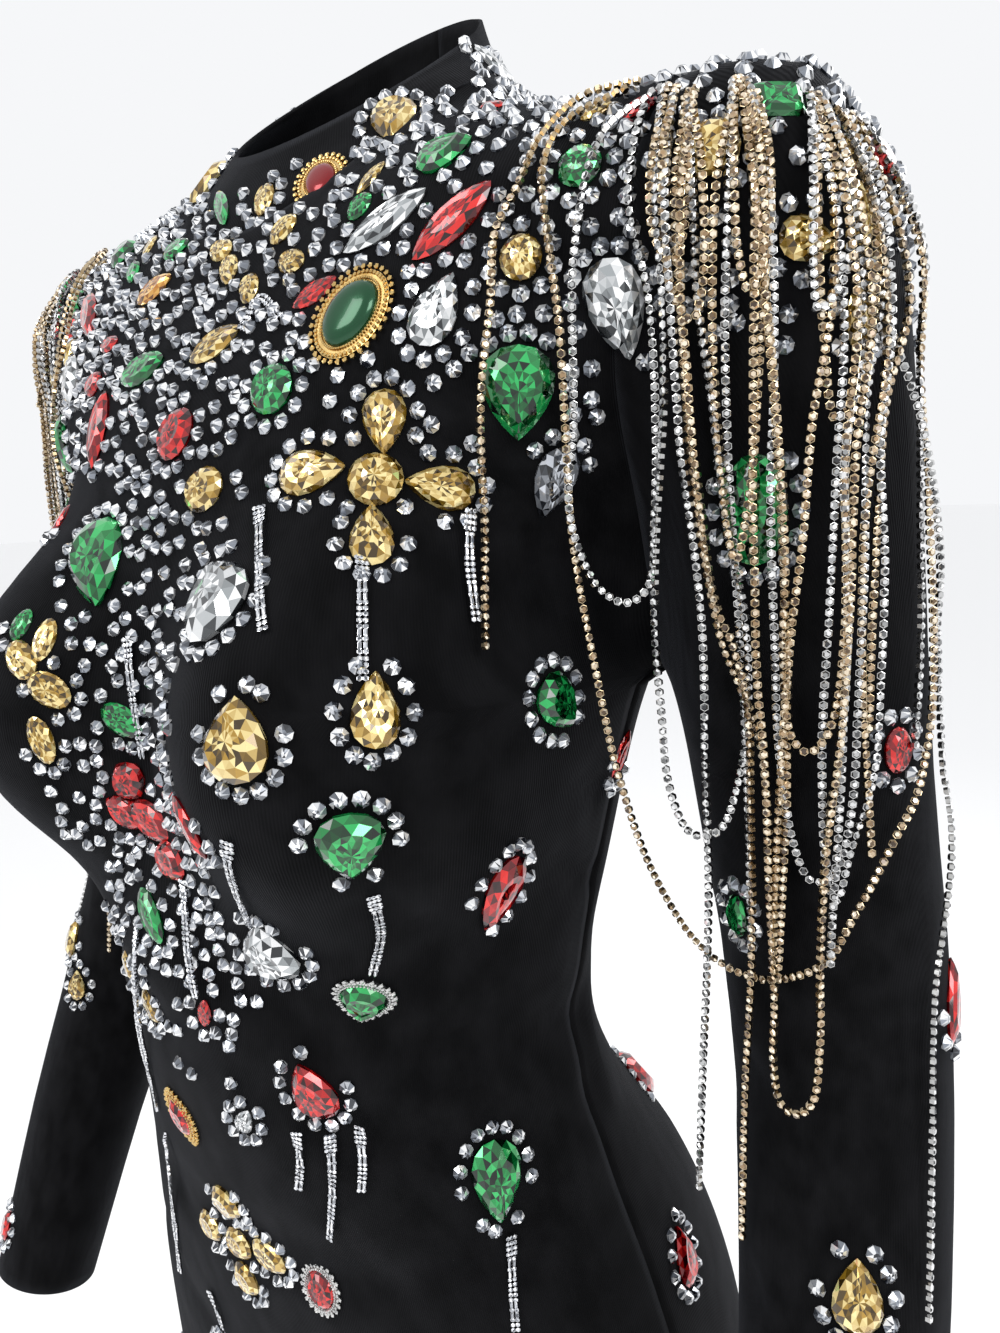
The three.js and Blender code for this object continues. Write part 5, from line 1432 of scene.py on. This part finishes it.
def cup_matrices(line, width, rng):
    """Axes of each cup of a strand, its stone facing out and wandering a little"""
    ahead = unit(np.gradient(line, axis=0))
    out = cloth_normal(line / MM)
    out = unit(out - ahead * (out * ahead).sum(1, keepdims=True))
    side = np.cross(ahead, out)
    turn = np.cumsum(rng.normal(0, WANDER, len(line)))
    turn = (turn - turn.mean())[:, None]
    z = out * np.cos(turn) + side * np.sin(turn)
    x = np.cross(ahead, z)
    matrices = np.zeros((len(line), 4, 4))
    matrices[:, :3, 0] = x * width
    matrices[:, :3, 1] = ahead * width
    matrices[:, :3, 2] = z * width
    matrices[:, :3, 3] = line
    matrices[:, 3, 3] = 1
    return matrices


class ChainSettings(bpy.types.PropertyGroup):
    """Sizes of the cup chain"""
    pitch: FloatProperty(name="Pitch", description="Distance from cup to cup",
                         default=3.3 * MM, min=1.5 * MM, max=8 * MM, subtype="DISTANCE")
    width: FloatProperty(name="Cup", description="Width of one cup",
                         default=3.0 * MM, min=1 * MM, max=7 * MM, subtype="DISTANCE")


class DRESS_OT_chains(bpy.types.Operator):
    """Hang the cup chain from both shoulders"""
    bl_idname = "dress.chains"
    bl_label = "Shoulder chains"

    def execute(self, context):
        chain = context.scene.dress_chain
        tree = cloth_tree()
        cup = cup_shape()
        rng = np.random.default_rng(7)
        sets = {(metal, side): [] for metal in ("gold", "silver") for side in ("left", "right")}
        for metal, lift, laid, back, points in STRANDS:
            line = smooth_line(strand_route(tree, lift, laid, back, points), chain.pitch)
            line = clear_of_cloth(line, CHAIN_CLEAR, ROOT_CLEAR)
            for side, hand in (("left", 1), ("right", -1)):
                own = line * np.array((hand, 1, 1))
                for matrix in cup_matrices(own, chain.width, rng):
                    sets[(metal, side)].append((cup, matrix))
        gold = metal_material("champagne plated cup", "#dccbab", 0.2, "#8f7550")
        silver = metal_material("silver plated cup", "#f0efec", 0.18, "#8f8f90")
        # the chain's glass has painted light: random facets painted dark as shade or near white as
        # glints
        sparkle = {
            "gold": glass_material("champagne chain glass", ("#3c2a18", "#a98a63", "#fff3dc")),
            "silver": glass_material("white chain glass", ("#26272a", "#a5a6a6", "#ffffff")),
        }
        for (metal, side), copies in sets.items():
            metals = [gold if metal == "gold" else silver, sparkle[metal]]
            obj = sewn(f"{metal}_chain_{side}", copies, metals, 9)
            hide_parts(f"chain_fringe_{side}")
        return {"FINISHED"}


DROP_PITCH, DROP_CUP, DROP_LIFT = 2.1 * MM, 1.9 * MM, 1.2 * MM
# A drop starts with a knot of this many rows of three beads. Below it are pairs, and in each
# run of rows these are tubes: longer and narrower than a bead.
KNOT_ROWS, RUN_ROWS, TUBE_ROWS = 4, 8, (5, 7)
KNOT_ACROSS, PAIR_ACROSS, ACROSS_SHARE = (-1, 0, 1), (-0.62, 0.62), 0.8
TUBE_LONG, TUBE_WIDE = 2.2, 0.7


class DRESS_OT_drops(bpy.types.Operator):
    """Sew the short rows of silver cups that hang below stones"""
    bl_idname = "dress.drops"
    bl_label = "Sewn drops"

    def execute(self, context):
        tree = cloth_tree()
        cup = cup_shape()
        rng = np.random.default_rng(13)
        copies = []
        for points in DROPS:
            route = []
            for px, py in points:
                hit, normal, _, _ = tree.ray_cast(EYE, sight(px, py))
                if hit is not None:
                    route.append(hit + normal * DROP_LIFT)
            if len(route) < 2:
                continue
            line = clear_of_cloth(smooth_line(route, DROP_PITCH), DROP_LIFT, DROP_LIFT)
            for k, matrix in enumerate(cup_matrices(line, DROP_CUP, rng)):
                tube = k % RUN_ROWS in TUBE_ROWS
                for across in KNOT_ACROSS if k < KNOT_ROWS else PAIR_ACROSS:
                    own = matrix.copy()
                    own[:3, 3] += own[:3, 0] * across * ACROSS_SHARE
                    own[:3, 1] *= TUBE_LONG if tube else 1
                    own[:3, 0] *= TUBE_WIDE if tube else 1
                    copies.append((cup, own))
        silver = metal_material("silver plated drop", "#f2f2f4", 0.16, "#a9acb4")
        # the drops' glass has painted light: random facets painted grey as shade or white as glints
        white = glass_material("white drop glass", ("#4c5058", "#c8ccd2", "#ffffff"))
        sewn("sewn_drops", copies, [silver, white], 17)
        return {"FINISHED"}


class DRESS_OT_zip(bpy.types.Operator):
    """Finish the zip's teeth, slider and tab"""
    bl_idname = "dress.zip"
    bl_label = "Zip"

    def execute(self, context):
        nickel = metal_material("dark nickel plate", "#7c7e84", 0.28, "#4e5056")
        # nylon coil: black, its turns drawn as bands 1.4 mm apart down the seam, painted lighter on
        # the raised turns as painted highlight and darker between them as painted shade
        coil, tree, shader = new_material("black nylon coil", {"Roughness": 0.4})
        place = add_node(tree, "ShaderNodeTexCoord")
        turns = add_node(tree, "ShaderNodeTexWave", {"bands_direction": "Z",
                                                     "Scale": WAVE_PITCH / 0.0014},
                         {"Vector": (place, "Object")})
        # painted light: lighter bands on the turns as painted highlight, darker between them as
        # painted shade
        tone = add_node(tree, "ShaderNodeValToRGB", links={"Fac": (turns, "Fac")})
        tone.color_ramp.elements[0].color = srgb("#060607")
        tone.color_ramp.elements[1].color = srgb("#26272b")
        bump = add_node(tree, "ShaderNodeBump", {"Strength": 0.8, "Distance": 0.0006},
                        {"Height": (turns, "Fac")})
        tree.links.new(tone.outputs["Color"], shader.inputs["Base Color"])
        tree.links.new(bump.outputs["Normal"], shader.inputs["Normal"])
        for node, material in (("zip_teeth", coil), ("zip_slider", nickel), ("zip_pull", nickel)):
            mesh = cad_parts[node].data
            mesh.materials.clear()
            mesh.materials.append(material)
        return {"FINISHED"}


# ---- stage


FLOOR_HALF, FLOOR_Z = 30, -1.25
LIT_POINT = Vector((0.05, -0.05, -0.25))
# Each light's place, size and share of the key's strength
LIGHTS = (("key", (-0.3, -1.9, 1.2), 1.2, 1.0), ("side", (2.0, -0.6, 0.7), 0.9, 0.7),
          ("rim", (0.6, 1.8, 1.0), 1.2, 0.6))


class StageSettings(bpy.types.PropertyGroup):
    """Light and floor"""
    floor: FloatVectorProperty(name="Floor", description="Colour of the floor and backdrop",
                               size=4, default=srgb("#fafafa"), subtype="COLOR")
    key: FloatProperty(name="Key light", description="Strength of the large key light",
                       default=26, min=0, max=400, subtype="POWER")


class DRESS_OT_stage(bpy.types.Operator):
    """Set the pale floor, soft lights and camera"""
    bl_idname = "dress.stage"
    bl_label = "Stage"

    def execute(self, context):
        scene = context.scene
        stage = scene.dress_stage
        bm = bmesh.new()
        bmesh.ops.create_grid(bm, x_segments=1, y_segments=1, size=FLOOR_HALF,
                              matrix=Matrix.Translation((0, 0, FLOOR_Z)))
        floor = piece_from(bm, "floor")
        material, _, shader = new_material("pale studio floor", {"Roughness": 0.9})
        shader.inputs["Base Color"].default_value = stage.floor
        floor.data.materials.append(material)
        world = bpy.data.worlds.new("studio")
        world.use_nodes = True
        background = world.node_tree.nodes["Background"].inputs
        background["Color"].default_value = srgb("#f6f7f9")
        background["Strength"].default_value = 1.0
        scene.world = world
        for name, at, size, share in LIGHTS:
            light = bpy.data.lights.new(name, "AREA")
            light.size = size
            light.energy = stage.key * share
            lamp = bpy.data.objects.new(name, light)
            facing = (LIT_POINT - Vector(at)).to_track_quat("-Z", "Y").to_matrix().to_4x4()
            lamp.matrix_world = Matrix.Translation(at) @ facing
            scene.collection.objects.link(lamp)
        camera = bpy.data.cameras.new("camera")
        camera.sensor_width = SENSOR
        camera.lens = FOCAL / PICTURE_HEIGHT * SENSOR
        camera.clip_start = 0.01
        holder = bpy.data.objects.new("camera", camera)
        holder.matrix_world = axes_at(EYE, RIGHT, UP, -AHEAD)
        scene.collection.objects.link(holder)
        scene.camera = holder
        scene.view_settings.view_transform = "Standard"
        return {"FINISHED"}


OPERATORS = (DRESS_OT_cloth, DRESS_OT_large_stones, DRESS_OT_small_stones, DRESS_OT_frames,
             DRESS_OT_drops, DRESS_OT_chains, DRESS_OT_zip, DRESS_OT_stage)
SETTINGS = {"dress_cloth": ClothSettings, "dress_stones": StoneSettings,
            "dress_chain": ChainSettings, "dress_stage": StageSettings}


class DRESS_PT_panel(bpy.types.Panel):
    """Sidebar panel with every setting and step"""
    bl_idname = "DRESS_PT_panel"
    bl_label = "Stage costume dress"
    bl_space_type = "VIEW_3D"
    bl_region_type = "UI"
    bl_category = "Dress"

    def draw(self, context):
        for name, group in SETTINGS.items():
            box = self.layout.box()
            for setting in group.__annotations__:
                box.prop(getattr(context.scene, name), setting)
        for operator in OPERATORS:
            self.layout.operator(operator.bl_idname)


def register():
    for group in SETTINGS.values():
        bpy.utils.register_class(group)
    for name, group in SETTINGS.items():
        setattr(bpy.types.Scene, name, PointerProperty(type=group))
    for operator in OPERATORS:
        bpy.utils.register_class(operator)
    bpy.utils.register_class(DRESS_PT_panel)


def unregister():
    bpy.utils.unregister_class(DRESS_PT_panel)
    for operator in reversed(OPERATORS):
        bpy.utils.unregister_class(operator)
    for name in SETTINGS:
        delattr(bpy.types.Scene, name)
    for group in SETTINGS.values():
        bpy.utils.unregister_class(group)


def main():
    register()
    bpy.ops.dress.cloth()
    bpy.ops.dress.large_stones()
    bpy.ops.dress.small_stones()
    bpy.ops.dress.frames()
    bpy.ops.dress.drops()
    bpy.ops.dress.chains()
    bpy.ops.dress.zip()
    bpy.ops.dress.stage()


if __name__ == "__main__":
    main()
